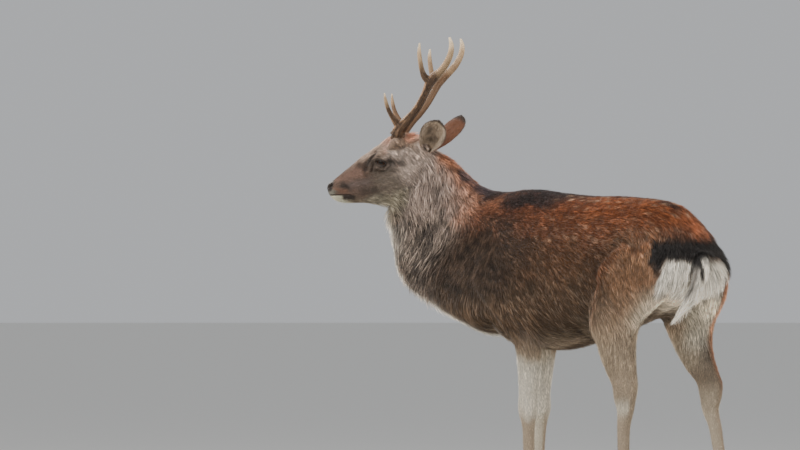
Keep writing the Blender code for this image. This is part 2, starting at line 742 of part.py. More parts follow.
def antler_rings(rows, side, around, shortened=1.0):
    """Round rings square to the path through the rows, and the path itself."""
    rows = np.array(rows)
    rows[:, :3] = rows[0, :3] + (rows[:, :3] - rows[0, :3]) * shortened
    path = flowing(rows, RINGS_PER_ROW)
    points = [head_point(a, b, -SIDES[side] * c) for a, b, c, _ in path]
    angles = np.linspace(0, 2 * math.pi, around, endpoint=False)
    rings = []
    for i, (point, row) in enumerate(zip(points, path)):
        ahead = points[min(i + 1, len(points) - 1)] - points[max(i - 1, 0)]
        ahead.normalize()
        u = ahead.cross(HEAD_LEFT).normalized()
        v = ahead.cross(u)
        rings.append([point + u * (row[3] * math.cos(a)) + v * (row[3] * math.sin(a)) for a in angles])
    return rings, points


def antler(side, collection):
    """A six-point head's antler: burr and base, brow tine, beam, front and rear top tines."""
    rings, points = antler_rings(MAIN_BEAM, side, 7)
    marks = (0, BEAM_FROM, REAR_TINE_FROM, len(rings) - 1)
    made = {}
    for name, start, end in zip(("base", "beam", "rear_tine"), marks, marks[1:]):
        stretch = [list(r) for r in rings[start:end + 1]]
        if start:
            step = (points[start + 1] - points[start]).normalized() * CUT
            stretch[0] = [p + step for p in stretch[0]]
        made[name] = tube(name, stretch, collection)
    tines = (("brow_tine", BROW_TINE, 1.0), ("front_tine", FRONT_TINE, FRONT_TINE_SHORTENED[side]))
    for name, rows, shortened in tines:
        tine = tube(name, antler_rings(rows, side, 6, shortened)[0], collection)
        for other in ("base", "beam", "rear_tine"):
            seated(tine, made[other], collection)
        made[name] = largest(tine, collection)
    return {f"antler_{side}_{name}": obj for name, obj in made.items()}


def largest(obj, collection):
    """Keeps only the largest shell of an object."""
    shells = loose_shells(obj)
    name = obj.name
    bpy.data.objects.remove(obj)
    return object_of(name, max(shells, key=lambda m: len(m.vertices)), collection)


def mouth_groove(head, collection):
    """A thin tube that follows the line of the lips round the muzzle, to cut it in."""
    line = ((0.0605, -0.0322), (0.0520, -0.0285), (0.0420, -0.0262), (0.0300, -0.0238),
            (0.0190, -0.0210), (0.0110, -0.0192))
    tree = BVHTree.FromObject(head, bpy.context.evaluated_depsgraph_get())
    path = []
    for left, points in ((1, line), (0, ((0.0, -0.0185),)), (-1, line[::-1])):
        for back, up in points:
            start = head_point(back if left else -0.05, up, left * 0.08)
            aim = -HEAD_LEFT * left if left else -HEAD_FORWARD
            hit = tree.ray_cast(start, aim)[0]
            path.append(hit)
    rings = []
    for i, point in enumerate(path):
        ahead = (path[min(i + 1, len(path) - 1)] - path[max(i - 1, 0)]).normalized()
        u = HEAD_UP
        v = ahead.cross(u).normalized()
        size = 0.0011 if 0 < i < len(path) - 1 else 0.0003
        rings.append([point + u * (size * math.cos(a)) + v * (1.6 * size * math.sin(a))
                      for a in np.linspace(0, 2 * math.pi, 6, endpoint=False)])
    return tube("mouth", rings, collection)


def finished_head(head, neck_piece, collection):
    """Adds eyes, ears and antlers to the head, and cuts their sockets, the nostrils and the mouth."""
    made = {}
    whole = joined("whole", [swollen(part, CLEARANCE, collection) for part in (head, neck_piece)], collection)
    for side, sign in SIDES.items():
        leaf = ear(side, collection)
        boolean(leaf, copy_of(whole, collection), "DIFFERENCE")
        made[f"ear_{side}"] = largest(leaf, collection)
        globe, gaze = eye(side, collection)
        boolean(head, eye_opening(side, gaze, collection), "DIFFERENCE")
        seated(head, globe, collection)
        made[f"eye_{side}"] = globe
        nostril = head_ball("nostril", (0.0135, 0.0052, 0.0175), (0.0070, 0.0050, 0.0042),
                            -sign, collection, segments=(12, 8))
        boolean(head, nostril, "DIFFERENCE")
        horns = antler(side, collection)
        seated(head, horns[f"antler_{side}_base"], collection)
        made.update(horns)
    bpy.data.objects.remove(whole)
    boolean(head, mouth_groove(head, collection), "DIFFERENCE")
    made["head"] = largest(head, collection)
    return made


# ---- build ----------------------------------------------------------------------------
def parted(collection):
    """All the pieces of the stag by name."""
    body = fused_flesh(collection)
    pieces = {}
    for side in SIDES:
        for limb, room, knee in (("foreleg", foreleg_room, (FORE[side][1], 0.262)),
                                 ("hindleg", hindleg_room, (HIND[side][1] + 0.004, 0.268))):
            leg = copy_of(body, collection)
            boolean(leg, room(side, 0.0, collection), "INTERSECT")
            boolean(body, room(side, CUT, collection), "DIFFERENCE")
            y = SIDES[side] * 0.09
            cut = plate("knee", (knee[0], y, knee[1]), (0, 0, 1), 0.14, collection)
            inside = {
                f"{limb}_upper_{side}": Vector((knee[0], y, knee[1] + 0.15)),
                f"{limb}_lower_{side}": Vector((knee[0], y, knee[1] - 0.12)),
            }
            pieces.update(part_by_cuts(leg, [cut], inside, collection))
    throat = (-HEAD_FORWARD * 0.634 - HEAD_UP * 0.773).normalized()
    cuts = [
        plate("nape", head_point(0.2475, -0.020, 0), throat, 0.42, collection),
        plate("shoulder", (-0.215, 0, 0.70), (0.857, 0, -0.514), 0.62, collection),
    ]
    inside = {
        "head": head_point(0.12, 0, 0),
        "neck": Vector((-0.30, 0, 0.74)),
        "trunk": Vector((0.20, 0, 0.64)),
    }
    pieces.update(part_by_cuts(body, cuts, inside, collection))
    pieces["tail"] = tail(collection)
    seated(pieces["trunk"], pieces["tail"], collection)
    pieces["trunk"] = largest(pieces["trunk"], collection)
    for name, foot_x, foot_y in list(feet()):
        pieces.update(finished_foot(pieces[name], name, foot_x, foot_y, collection))
    pieces.update(finished_head(pieces["head"], pieces["neck"], collection))
    return pieces


LOOKS = {  # first part of a piece's name: its material
    "head": "coat_face", "neck": "coat_mane", "trunk": "coat_chestnut", "tail": "coat_white",
    "foreleg": "coat_leg", "hindleg": "coat_leg", "ear": "coat_face", "eye": "eye",
    "hoof": "horn", "dewclaw": "horn", "antler": "antler",
}


def main():
    for obj in list(bpy.data.objects):
        bpy.data.objects.remove(obj)
    stag = bpy.data.collections.new("sika_stag")
    bpy.context.scene.collection.children.link(stag)
    looks = palette()
    for name, obj in parted(stag).items():
        obj.name = obj.data.name = name
        obj.data.transform(Matrix.Translation(SHIFT))
        obj.data.materials.clear()
        obj.data.materials.append(looks[LOOKS[name.split("_")[0]]])
        obj.data.shade_smooth()
        obj.data.set_sharp_from_angle(angle=math.radians(50))


if __name__ == "__main__":
    main()
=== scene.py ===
"""The looks of a sika stag that stands still with its head turned: skin, coat, eyes, antlers, feet.

The stag faces -X, its left side is -Y and the floor is z = 0. Lengths are in metres. Shapes are
worked out in the stag's own frame, whose x is 0 at the withers, and moved by SHIFT at the end.
"""

import logging
import math
from dataclasses import dataclass, field
from enum import Enum
from typing import Callable, Iterable, Sequence

import bmesh
import bpy
import numpy as np
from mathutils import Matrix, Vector

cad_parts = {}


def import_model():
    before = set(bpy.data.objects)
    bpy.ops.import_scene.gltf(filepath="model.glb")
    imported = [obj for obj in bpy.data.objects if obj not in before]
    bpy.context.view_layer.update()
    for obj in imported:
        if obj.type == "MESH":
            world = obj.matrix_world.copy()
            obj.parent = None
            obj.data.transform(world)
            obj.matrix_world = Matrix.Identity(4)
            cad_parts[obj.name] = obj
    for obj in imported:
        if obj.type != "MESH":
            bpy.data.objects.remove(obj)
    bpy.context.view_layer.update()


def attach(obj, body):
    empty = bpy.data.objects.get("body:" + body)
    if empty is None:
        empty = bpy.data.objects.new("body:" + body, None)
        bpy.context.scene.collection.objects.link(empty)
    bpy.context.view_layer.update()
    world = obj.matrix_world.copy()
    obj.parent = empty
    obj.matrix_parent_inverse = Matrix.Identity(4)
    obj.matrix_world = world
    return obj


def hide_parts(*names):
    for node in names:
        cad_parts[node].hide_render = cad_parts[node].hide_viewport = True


Array = np.ndarray
Colour = tuple[float, float, float]
Rows = Sequence[Sequence[float]]
Material = bpy.types.Material
Socket = bpy.types.NodeSocket
LOG = logging.getLogger("stag")

SHIFT = np.array((-0.028, 0.020, 0.0))  # from the stag's own frame to the model's
PIECE_LIMIT = 196000  # most triangles in one piece of coat
AHEAD, ACROSS = np.array((-1.0, 0, 0)), np.array((0, 1.0, 0))
MIDDLE_X = 0.20  # between the forelegs and the hind legs


class Side(Enum):
    """Left or right, as the sign of y."""

    LEFT = -1.0
    RIGHT = 1.0

    @property
    def label(self) -> str:
        """The side's name in lower case."""
        return self.name.lower()


# ---- arrays ----
@dataclass
class Surface:
    """A closed surface as arrays: points (n, 3) and triangles (m, 3) of point numbers."""

    points: Array
    triangles: Array

    def normals(self) -> Array:
        """Unit normals of the points: the sum of their triangles' area normals, made unit."""
        a, b, c = (self.points[self.triangles[:, k]] for k in range(3))
        faces = np.cross(b - a, c - a)
        total = np.zeros_like(self.points)
        for corner in range(3):
            for axis in range(3):
                total[:, axis] += np.bincount(
                    self.triangles[:, corner], faces[:, axis], minlength=len(self.points))
        return unit(total)

    def edges(self) -> Array:
        """Pairs of joined point numbers, each pair once."""
        pairs = np.vstack([self.triangles[:, [0, 1]], self.triangles[:, [1, 2]],
                           self.triangles[:, [2, 0]]])
        pairs.sort(axis=1)
        return np.unique(pairs, axis=0)


def unit(vectors: Array) -> Array:
    """Each vector divided by its length."""
    return vectors / np.maximum(np.linalg.norm(vectors, axis=-1, keepdims=True), 1e-12)


def ramp(values: Array, low: float, high: float) -> Array:
    """Smooth step: 0 at low, 1 at high, 3t^2 - 2t^3 between; low may be above high."""
    t = np.clip((values - low) / (high - low), 0.0, 1.0)
    return t * t * (3 - 2 * t)


def circle(count: int) -> Array:
    """This many angles, evenly round a circle."""
    return np.linspace(0, 2 * math.pi, count, endpoint=False)


def bump(values: Array, centre: float, width: float) -> Array:
    """Bell: e to the minus square of the distance from centre in widths."""
    return np.exp(-((values - centre) / width) ** 2)


def blend(low: Array, high: Array, share: Array) -> Array:
    """Mix of two colours or vectors by a share for each point."""
    share = np.asarray(share)[..., None]
    return low * (1 - share) + high * share


def noise(points: Array, grain: float, seed: int) -> Array:
    """Value noise from -1 to 1: random numbers on a cubic lattice, blended by 3t^2 - 2t^3.

    Args:
        points: places (n, 3).
        grain: size of a lattice cell.
        seed: which set of random numbers.

    Returns:
        One number for each point.
    """
    table = np.random.default_rng(seed).random((32, 32, 32)) * 2 - 1
    q = points / grain
    cell = np.floor(q).astype(np.int64)
    f = q - cell
    f = f * f * (3 - 2 * f)
    total = np.zeros(len(points))
    for corner in np.ndindex(2, 2, 2):
        wx, wy, wz = np.where(corner, f, 1 - f).T
        ix, iy, iz = ((cell + corner) & 31).T
        total += wx * wy * wz * table[ix, iy, iz]
    return total


def dots(a: Array, b: Array) -> Array:
    """The scalar product of each pair of vectors."""
    return np.einsum("ij,ij->i", a, b)


def noise_vector(points: Array, grain: float, seed: int) -> Array:
    """Three value noises as a vector for each point."""
    return np.stack([noise(points, grain, seed + k) for k in range(3)], axis=1)


def flowing(rows: Rows | Array, steps: int) -> Array:
    """Catmull-Rom curve through the rows, with this many steps from each row to the next."""
    rows = np.array(rows, float)
    padded = np.vstack([2 * rows[0] - rows[1], rows, 2 * rows[-1] - rows[-2]])
    t = np.linspace(0, 1, steps, endpoint=False)[None, :, None]
    p0, p1, p2, p3 = (padded[k:len(padded) - 3 + k, None, :] for k in range(4))
    curve = 0.5 * (
        2 * p1 + (p2 - p0) * t + (2 * p0 - 5 * p1 + 4 * p2 - p3) * t**2
        + (3 * p1 - p0 - 3 * p2 + p3) * t**3
    )
    return np.vstack([curve.reshape(-1, rows.shape[1]), rows[-1:]])


def rounded(angles: Array, fullness: Array) -> tuple[Array, Array]:
    """Cosine and sine of a superellipse: each is its own size to the power 2 / fullness."""
    c, s = np.cos(angles), np.sin(angles)
    return np.sign(c) * np.abs(c) ** (2 / fullness), np.sign(s) * np.abs(s) ** (2 / fullness)


def tube(rings: Array) -> Surface:
    """A closed tube through rings of points (rows, around, 3), each end a fan on its middle."""
    rows, around = rings.shape[:2]
    index = np.arange(rows * around).reshape(rows, around)
    a, b = index[:-1], np.roll(index, -1, axis=1)[:-1]
    c, d = np.roll(index, -1, axis=1)[1:], index[1:]
    sides = np.concatenate([
        np.stack([a, b, c], axis=-1).reshape(-1, 3), np.stack([a, c, d], axis=-1).reshape(-1, 3)])
    start, end = rows * around, rows * around + 1
    first, last = index[0], index[-1]
    caps = np.concatenate([
        np.stack([np.full(around, start), np.roll(first, -1), first], axis=1),
        np.stack([np.full(around, end), last, np.roll(last, -1)], axis=1)])
    points = np.vstack([rings.reshape(-1, 3), rings[0].mean(axis=0), rings[-1].mean(axis=0)])
    made = Surface(points, np.vstack([sides, caps]))
    return outward(made)


def outward(surface: Surface) -> Surface:
    """The surface with its triangles turned so that its volume is positive."""
    a, b, c = (surface.points[surface.triangles[:, k]] for k in range(3))
    if np.einsum("ij,ij->i", a, np.cross(b, c)).sum() < 0:
        surface.triangles = surface.triangles[:, ::-1].copy()
    return surface


def ball(centre: Array, radii: Sequence[float], axes: Array, around: int = 28,
         rows: int = 18) -> Surface:
    """An ellipsoid: rings of latitude about its third axis.

    Args:
        centre: its middle.
        radii: its three half-lengths.
        axes: its three unit axes as rows.
        around: points in a ring.
        rows: rings from pole to pole.

    Returns:
        The closed surface.
    """
    latitude = np.linspace(0, math.pi, rows + 2)[1:-1, None]
    angle = circle(around)[None, :]
    local = np.stack(np.broadcast_arrays(
        np.sin(latitude) * np.cos(angle), np.sin(latitude) * np.sin(angle), np.cos(latitude)),
        axis=-1) * np.array(radii)
    made = tube(centre + local @ np.array(axes))
    poles = centre + np.array([[0, 0, radii[2]], [0, 0, -radii[2]]]) @ np.array(axes)
    made.points[-2:] = poles
    return made


def together(surfaces: Iterable[Surface]) -> Surface:
    """Several surfaces as one, with no points shared."""
    points, triangles, count = [], [], 0
    for surface in surfaces:
        points.append(surface.points)
        triangles.append(surface.triangles + count)
        count += len(surface.points)
    return Surface(np.vstack(points), np.vstack(triangles))


# ---- arrays and meshes ----
def mesh_of(name: str, surface: Surface) -> bpy.types.Mesh:
    """A mesh with the surface's points and triangles."""
    mesh = bpy.data.meshes.new(name)
    count = len(surface.triangles)
    mesh.vertices.add(len(surface.points))
    mesh.vertices.foreach_set("co", surface.points.astype(np.float32).ravel())
    mesh.loops.add(count * 3)
    mesh.loops.foreach_set("vertex_index", surface.triangles.astype(np.int32).ravel())
    mesh.polygons.add(count)
    mesh.polygons.foreach_set("loop_start", np.arange(0, count * 3, 3, dtype=np.int32))
    mesh.update(calc_edges=True)
    return mesh


def shown(name: str, data: bpy.types.ID) -> bpy.types.Object:
    """A new object in the scene."""
    obj = bpy.data.objects.new(name, data)
    bpy.context.scene.collection.objects.link(obj)
    return obj


def surface_of(mesh: bpy.types.Mesh) -> Surface:
    """A mesh's points and triangles as arrays."""
    points = np.empty(len(mesh.vertices) * 3, np.float32)
    mesh.vertices.foreach_get("co", points)
    mesh.calc_loop_triangles()
    triangles = np.empty(len(mesh.loop_triangles) * 3, np.int32)
    mesh.loop_triangles.foreach_get("vertices", triangles)
    return Surface(points.reshape(-1, 3).astype(float), triangles.reshape(-1, 3).astype(np.int64))


def through_modifiers(surface: Surface, dress: Callable[[bpy.types.Object], None]) -> Surface:
    """The surface after the modifiers that dress() puts on an object of it."""
    obj = shown("work", mesh_of("work", surface))
    dress(obj)
    bpy.context.view_layer.update()
    graph = bpy.context.evaluated_depsgraph_get()
    mesh = bpy.data.meshes.new_from_object(obj.evaluated_get(graph))
    made = surface_of(mesh)
    source = obj.data
    bpy.data.objects.remove(obj)
    for spare in (mesh, source):
        bpy.data.meshes.remove(spare)
    return made


def fused(surfaces: Iterable[Surface], voxel: float) -> Surface:
    """One closed surface round several, by a voxel remesh."""

    def dress(obj: bpy.types.Object) -> None:
        """Adds the remesh."""
        modifier = obj.modifiers.new("fuse", "REMESH")
        modifier.mode = "VOXEL"
        modifier.voxel_size = voxel

    return through_modifiers(together(surfaces), dress)


def thinned(surface: Surface, triangles: int, ease: Array) -> Surface:
    """Fewer triangles, with more of them kept where ease is near 0.

    Args:
        surface: what is thinned.
        triangles: how many are wanted.
        ease: for each point, how readily its triangles go, 0 to 1.

    Returns:
        The new surface.
    """

    def dress(obj: bpy.types.Object) -> None:
        """Adds the decimation, its weights set in a few levels."""
        group = obj.vertex_groups.new(name="ease")
        levels = np.round(ease * 8) / 8
        for level in np.unique(levels):
            group.add(np.nonzero(levels == level)[0].tolist(), float(level), "REPLACE")
        modifier = obj.modifiers.new("thin", "DECIMATE")
        modifier.ratio = min(1.0, triangles / len(surface.triangles))
        modifier.vertex_group = group.name
        modifier.vertex_group_factor = 2.0

    return through_modifiers(surface, dress)


def refined(surface: Surface, inside: Array) -> Surface:
    """Triangles whose points are all inside are split in four, their neighbours to match."""
    bm = bmesh.new()
    bm.from_mesh(mesh := mesh_of("work", surface))
    bpy.data.meshes.remove(mesh)
    bm.verts.ensure_lookup_table()
    edges = [e for e in bm.edges if inside[e.verts[0].index] and inside[e.verts[1].index]]
    bmesh.ops.subdivide_edges(bm, edges=edges, cuts=1, use_grid_fill=True)
    bmesh.ops.triangulate(bm, faces=bm.faces)
    mesh = bpy.data.meshes.new("work")
    bm.to_mesh(mesh)
    bm.free()
    made = surface_of(mesh)
    bpy.data.meshes.remove(mesh)
    return made


def smoothed(surface: Surface, passes: int, share: Array | float, spring: float = 0.0) -> Surface:
    """Each pass moves a point by half of share towards its neighbours' mean.

    Args:
        surface: what is smoothed, in place.
        passes: how often.
        share: how much, for each point or for all.
        spring: how much of each pass the next one takes back, which keeps the volume.

    Returns:
        The same surface.
    """
    edges = surface.edges()
    count = len(surface.points)
    one = np.concatenate([edges[:, 0], edges[:, 1]])
    two = np.concatenate([edges[:, 1], edges[:, 0]])
    valence = np.maximum(np.bincount(one, minlength=count), 1)[:, None]
    share = np.broadcast_to(np.asarray(share, float), (count,))[:, None]
    for step in range(passes):
        mean = np.stack([np.bincount(one, surface.points[two, k], minlength=count)
                         for k in range(3)], axis=1) / valence
        factor = 0.5 if not (spring and step % 2) else -0.5 * spring
        surface.points = surface.points + (mean - surface.points) * share * factor
    return surface


def piece(name: str, surface: Surface, finish: Material, replaced: Sequence[str],
          numbers: dict[str, Array] | None = None, patches: Array | None = None,
          sharp: float | None = None) -> None:
    """Makes a finished piece of the model: it rides on the root and is dressed in its finish.

    Args:
        name: the piece's name.
        surface: its shape in the stag's own frame.
        finish: its material.
        replaced: the nodes that it stands for.
        numbers: attributes by name, one number, vector or colour (the tint) for each point.
        patches: OFBake coordinates (n, 2) for each point.
        sharp: angle in degrees above which an edge stays sharp.
    """
    mesh = mesh_of(name, Surface(surface.points + SHIFT, surface.triangles))
    for label, values in (numbers or {}).items():
        values = np.asarray(values, np.float32)
        kind, key = ("FLOAT", "value") if values.ndim == 1 else ("FLOAT_VECTOR", "vector")
        if label == "tint":
            kind, key = "FLOAT_COLOR", "color"
            values = np.column_stack([values, np.ones(len(values), np.float32)])
        mesh.attributes.new(label, kind, "POINT").data.foreach_set(key, values.ravel())
    if patches is not None:
        corners = patches[surface.triangles.ravel()].astype(np.float32)
        mesh.uv_layers.new(name="OFBake").data.foreach_set("uv", corners.ravel())
    mesh.shade_smooth()
    if sharp is not None:
        mesh.set_sharp_from_angle(angle=math.radians(sharp))
    mesh.materials.append(finish)
    obj = shown(name, mesh)
    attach(obj, "root")
    if replaced:
        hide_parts(*replaced)
    LOG.info("%s: %d triangles", name, len(surface.triangles))


# ---- the head's own frame ----
@dataclass(frozen=True)
class HeadFrame:
    """Where the head is: distances back from the nose, up, and out to the left."""

    nose: tuple[float, float, float] = (-0.553, -0.185, 0.8455)
    yaw: float = 35.0
    pitch: float = 15.0

    @property
    def back(self) -> Array:
        """Unit vector from the nose to the poll."""
        yaw, pitch = math.radians(self.yaw), math.radians(self.pitch)
        return np.array((math.cos(yaw) * math.cos(pitch), math.sin(yaw) * math.cos(pitch),
                         math.sin(pitch)))

    @property
    def left(self) -> Array:
        """Unit vector to the head's left."""
        yaw = math.radians(self.yaw)
        return np.array((math.sin(yaw), -math.cos(yaw), 0.0))

    @property
    def up(self) -> Array:
        """Unit vector square to the other two."""
        return np.cross(self.left, self.back)

    def point(self, back: Array | float, up: Array | float, left: Array | float) -> Array:
        """The place of head coordinates; arrays give one place for each."""
        back, up, left = (np.asarray(v, float)[..., None] for v in (back, up, left))
        return np.array(self.nose) + self.back * back + self.up * up + self.left * left

    def measure(self, points: Array) -> tuple[Array, Array, Array]:
        """Head coordinates back, up and left of each point."""
        arm = points - np.array(self.nose)
        return arm @ self.back, arm @ self.up, arm @ self.left

    def axes(self) -> Array:
        """The three axes as rows: back, left, up."""
        return np.stack([self.back, self.left, self.up])


HEAD = HeadFrame()


# ---- where the parts of the body are ----
@dataclass(frozen=True)
class Legs:
    """The legs' joints along x, hock heights and distances from the midline."""

    fore: dict[Side, tuple[float, ...]] = field(default_factory=lambda: {
        Side.LEFT: (-0.025, 0.046, 0.048, 0.078), Side.RIGHT: (-0.035, -0.048, -0.062, 0.078)})
    hind: dict[Side, tuple[float, ...]] = field(default_factory=lambda: {
        Side.LEFT: (0.337, 0.387, 0.335, 0.384, 0.098),
        Side.RIGHT: (0.392, 0.506, 0.340, 0.552, 0.096)})
    fetlock: float = 0.106


LEGS = Legs()


@dataclass
class Places:
    """How much each point belongs to each part of the body, from 0 to 1."""

    points: Array
    normals: Array

    def __post_init__(self) -> None:
        """Works out the shares once, as everything about the coat uses them."""
        x, y, z = self.points.T
        self.back, self.up, self.out = HEAD.measure(self.points)
        nape = HEAD.point(0.2475, -0.020, 0.0)
        past_nape = (self.points - nape) @ (HEAD.back * 0.634 - HEAD.up * 0.773)
        self.head = ramp(past_nape, 0.015, -0.02)
        shoulder = (self.points - np.array((-0.215, 0.0, 0.70))) @ np.array((0.857, 0.0, -0.514))
        self.neck = (1 - self.head) * ramp(shoulder, 0.05, -0.05)
        fore = ramp(z, 0.50, 0.40) * (x < 0.20) * ramp(np.abs(y), 0.030, 0.045)
        hind = ramp(z, 0.55, 0.43) * (x > 0.22)
        self.legs = np.clip(fore + hind, 0, 1) * (1 - self.neck) * (1 - self.head)
        self.tail = tail_share(self.points)
        facing = ramp(self.normals[:, 0], 0.05, 0.45)
        self.rear = ramp(x, 0.48, 0.53) * ramp(z, 0.42, 0.50) * facing
        self.trunk = np.clip(1 - self.head - self.neck - self.legs, 0, 1)


TAIL_ROWS = (  # middle, reach to the front and the back, half-width, fullness
    (0.540, 0.000, 0.700, 0.014, 0.014, 0.018, 2.0),
    (0.572, -0.014, 0.684, 0.016, 0.016, 0.024, 2.0),
    (0.591, -0.033, 0.648, 0.014, 0.015, 0.028, 2.0),
    (0.597, -0.058, 0.602, 0.012, 0.013, 0.029, 2.0),
    (0.594, -0.080, 0.566, 0.011, 0.012, 0.026, 2.0),
    (0.584, -0.100, 0.534, 0.009, 0.009, 0.017, 2.0),
    (0.578, -0.110, 0.515, 0.004, 0.004, 0.007, 2.0),
)
# Lines along the body, as places x and z: the nape's skin, its dark line and the thigh's edge.
NAPE = ((-0.32, 0.962), (-0.274, 0.930), (-0.205, 0.871), (-0.115, 0.842), (0.02, 0.836))
RIDGE = ((-0.280, 0.934), (-0.262, 0.916), (-0.235, 0.8875), (-0.207, 0.8618), (-0.180, 0.841),
         (-0.150, 0.831), (-0.118, 0.823), (0.02, 0.824))
THIGH_LINE = ((0.476, 0.709), (0.390, 0.696), (0.338, 0.650), (0.324, 0.586), (0.318, 0.535))


def thigh_gap(x: Array, z: Array) -> tuple[Array, Array]:
    """Bells of the distance from the thigh's front edge: before it, and on the thigh."""
    bell = bump(line_gap(x, z, THIGH_LINE), 0, 0.016)
    line_x, line_z = np.array(THIGH_LINE[::-1]).T
    behind = ramp(x - np.interp(z, line_z, line_x), -0.003, 0.003)
    return bell * (1 - behind), bell * behind


def tail_share(points: Array) -> Array:
    """How much each point belongs to the tail: near its middle line, and behind the rump."""
    path = flowing(TAIL_ROWS, 6)
    share = np.zeros(len(points))
    near = points[:, 0] > 0.53
    if near.any():
        gap = points[near][:, None, :] - path[None, :, :3]
        reach = np.abs(gap[..., 1]) / path[:, 5] + np.abs(gap[..., 0]) / 0.028 \
            + np.abs(gap[..., 2]) / 0.02
        share[near] = ramp(reach.min(axis=1), 1.5, 1.1) * ramp(points[near][:, 0], 0.565, 0.580)
    return share


# ---- the skin ----
@dataclass
class Body:
    """The stag's flesh: lofts of cross-sections, fused, eased into each other and drawn in."""

    voxel: float = 0.0030
    triangles: int = 128000
    pedicle_at: tuple[float, float, float] = (0.2170, 0.086, 0.0385)
    crease: float = 0.0045  # depth of the fold before the thigh

    def upright(self, rows: Rows) -> Surface:
        """A loft along x from rows of x, top, bottom, half-width and the back's fullness."""
        angles = circle(72)[None, :]
        x, top, bottom, wide, full = (c[:, None] for c in flowing(rows, 10).T)
        middle = bottom + 0.52 * (top - bottom)
        above, below = rounded(angles, full), rounded(angles, np.full_like(full, 2.25))
        back = np.cos(angles) > 0
        rise = np.where(back, above[0] * (top - middle), below[0] * (middle - bottom))
        side = np.where(back, above[1], below[1]) * wide
        return tube(np.stack([x + 0 * rise, side, middle + rise], axis=-1))

    def loft(self, stations: Array, front: Array, side: Array, steps: int = 8,
             around: int = 48) -> Surface:
        """A loft of stations: middle, reach to the front, to the back, half-width, fullness.

        Args:
            stations: rows of those seven numbers.
            front: the direction of every station's front.
            side: the direction of its width.
            steps: rings from one station to the next.
            around: points in a ring.

        Returns:
            The closed surface.
        """
        rows = flowing(stations, steps)
        angles = circle(around)[None, :]
        c, s = rounded(angles, rows[:, 6:7])
        reach = np.maximum(np.where(c > 0, rows[:, 3:4], rows[:, 4:5]), 1e-4)
        wide = np.maximum(rows[:, 5:6], 1e-4)
        across = (c * reach)[..., None] * front + (s * wide)[..., None] * side
        return tube(rows[:, None, :3] + across)

    def trunk(self) -> Surface:
        """The barrel, from the brisket to the rump."""
        return self.upright((
            (-0.215, 0.752, 0.620, 0.040, 2.0),
            (-0.170, 0.808, 0.535, 0.088, 2.0),
            (-0.090, 0.838, 0.462, 0.122, 2.0),
            (0.000, 0.847, 0.440, 0.138, 2.0),
            (0.100, 0.837, 0.431, 0.150, 2.1),
            (0.200, 0.829, 0.450, 0.154, 2.2),
            (0.300, 0.828, 0.480, 0.150, 2.2),
            (0.400, 0.8215, 0.515, 0.146, 2.1),
            (0.450, 0.814, 0.535, 0.141, 1.95),
            (0.480, 0.798, 0.545, 0.138, 1.9),
            (0.520, 0.758, 0.560, 0.132, 1.9),
            (0.550, 0.716, 0.575, 0.122, 1.9),
            (0.572, 0.685, 0.590, 0.096, 2.0),
            (0.586, 0.655, 0.615, 0.045, 2.0),
        ))

    def neck(self) -> Surface:
        """The neck in its mane: ellipses between nape and throat, narrower at the nape."""
        rows = (
            (0.070, 0.000, 0.790, -0.030, 0.000, 0.520, 0.090),
            (0.020, 0.000, 0.836, -0.140, 0.000, 0.468, 0.116),
            (-0.115, 0.000, 0.842, -0.315, 0.000, 0.538, 0.112),
            (-0.165, -0.003, 0.850, -0.425, 0.000, 0.607, 0.102),
            (-0.205, -0.010, 0.871, -0.468, -0.008, 0.692, 0.092),
            (-0.238, -0.018, 0.899, -0.457, -0.022, 0.760, 0.083),
            (-0.274, -0.030, 0.930, -0.427, -0.045, 0.812, 0.070),
            (-0.320, -0.048, 0.962, -0.405, -0.070, 0.865, 0.050),
        )
        path = flowing(rows, 10)[:, None, :]
        nape, throat, wide = path[..., :3], path[..., 3:6], path[..., 6:7]
        angles = circle(64)[None, :]
        c, s = (v[..., None] for v in rounded(angles, np.full((1, 1), 2.1)))
        middle, half = (nape + throat) / 2, (nape - throat) / 2
        return tube(middle + c * half + s * (1 - 0.25 * c) * wide * np.array((0.0, 1.0, 0.0)))

    def skull(self) -> Surface:
        """Skull and muzzle, from rows of distance back, top, bottom, half-width, fullness."""
        rows = (
            (0.000, 0.004, -0.012, 0.009, 2.0),
            (0.005, 0.0125, -0.024, 0.0185, 2.2),
            (0.014, 0.0180, -0.035, 0.0235, 2.3),
            (0.030, 0.0235, -0.045, 0.0260, 2.3),
            (0.052, 0.0335, -0.0515, 0.0275, 2.3),
            (0.078, 0.0450, -0.0580, 0.0305, 2.3),
            (0.104, 0.0580, -0.0650, 0.0360, 2.2),
            (0.130, 0.0665, -0.0720, 0.0430, 2.2),
            (0.156, 0.0765, -0.0760, 0.0480, 2.2),
            (0.182, 0.0880, -0.0770, 0.0500, 2.2),
            (0.208, 0.0935, -0.0700, 0.0500, 2.2),
            (0.234, 0.0900, -0.0560, 0.0480, 2.1),
            (0.260, 0.0740, -0.0380, 0.0430, 2.0),
            (0.290, 0.0350, -0.0050, 0.0250, 2.0),
        )
        back, top, bottom, wide, full = np.array(rows).T
        middle = bottom + 0.55 * (top - bottom)
        stations = np.column_stack([
            HEAD.point(back, middle, 0 * back), top - middle, middle - bottom, wide, full])
        return self.loft(stations, HEAD.up, HEAD.left)

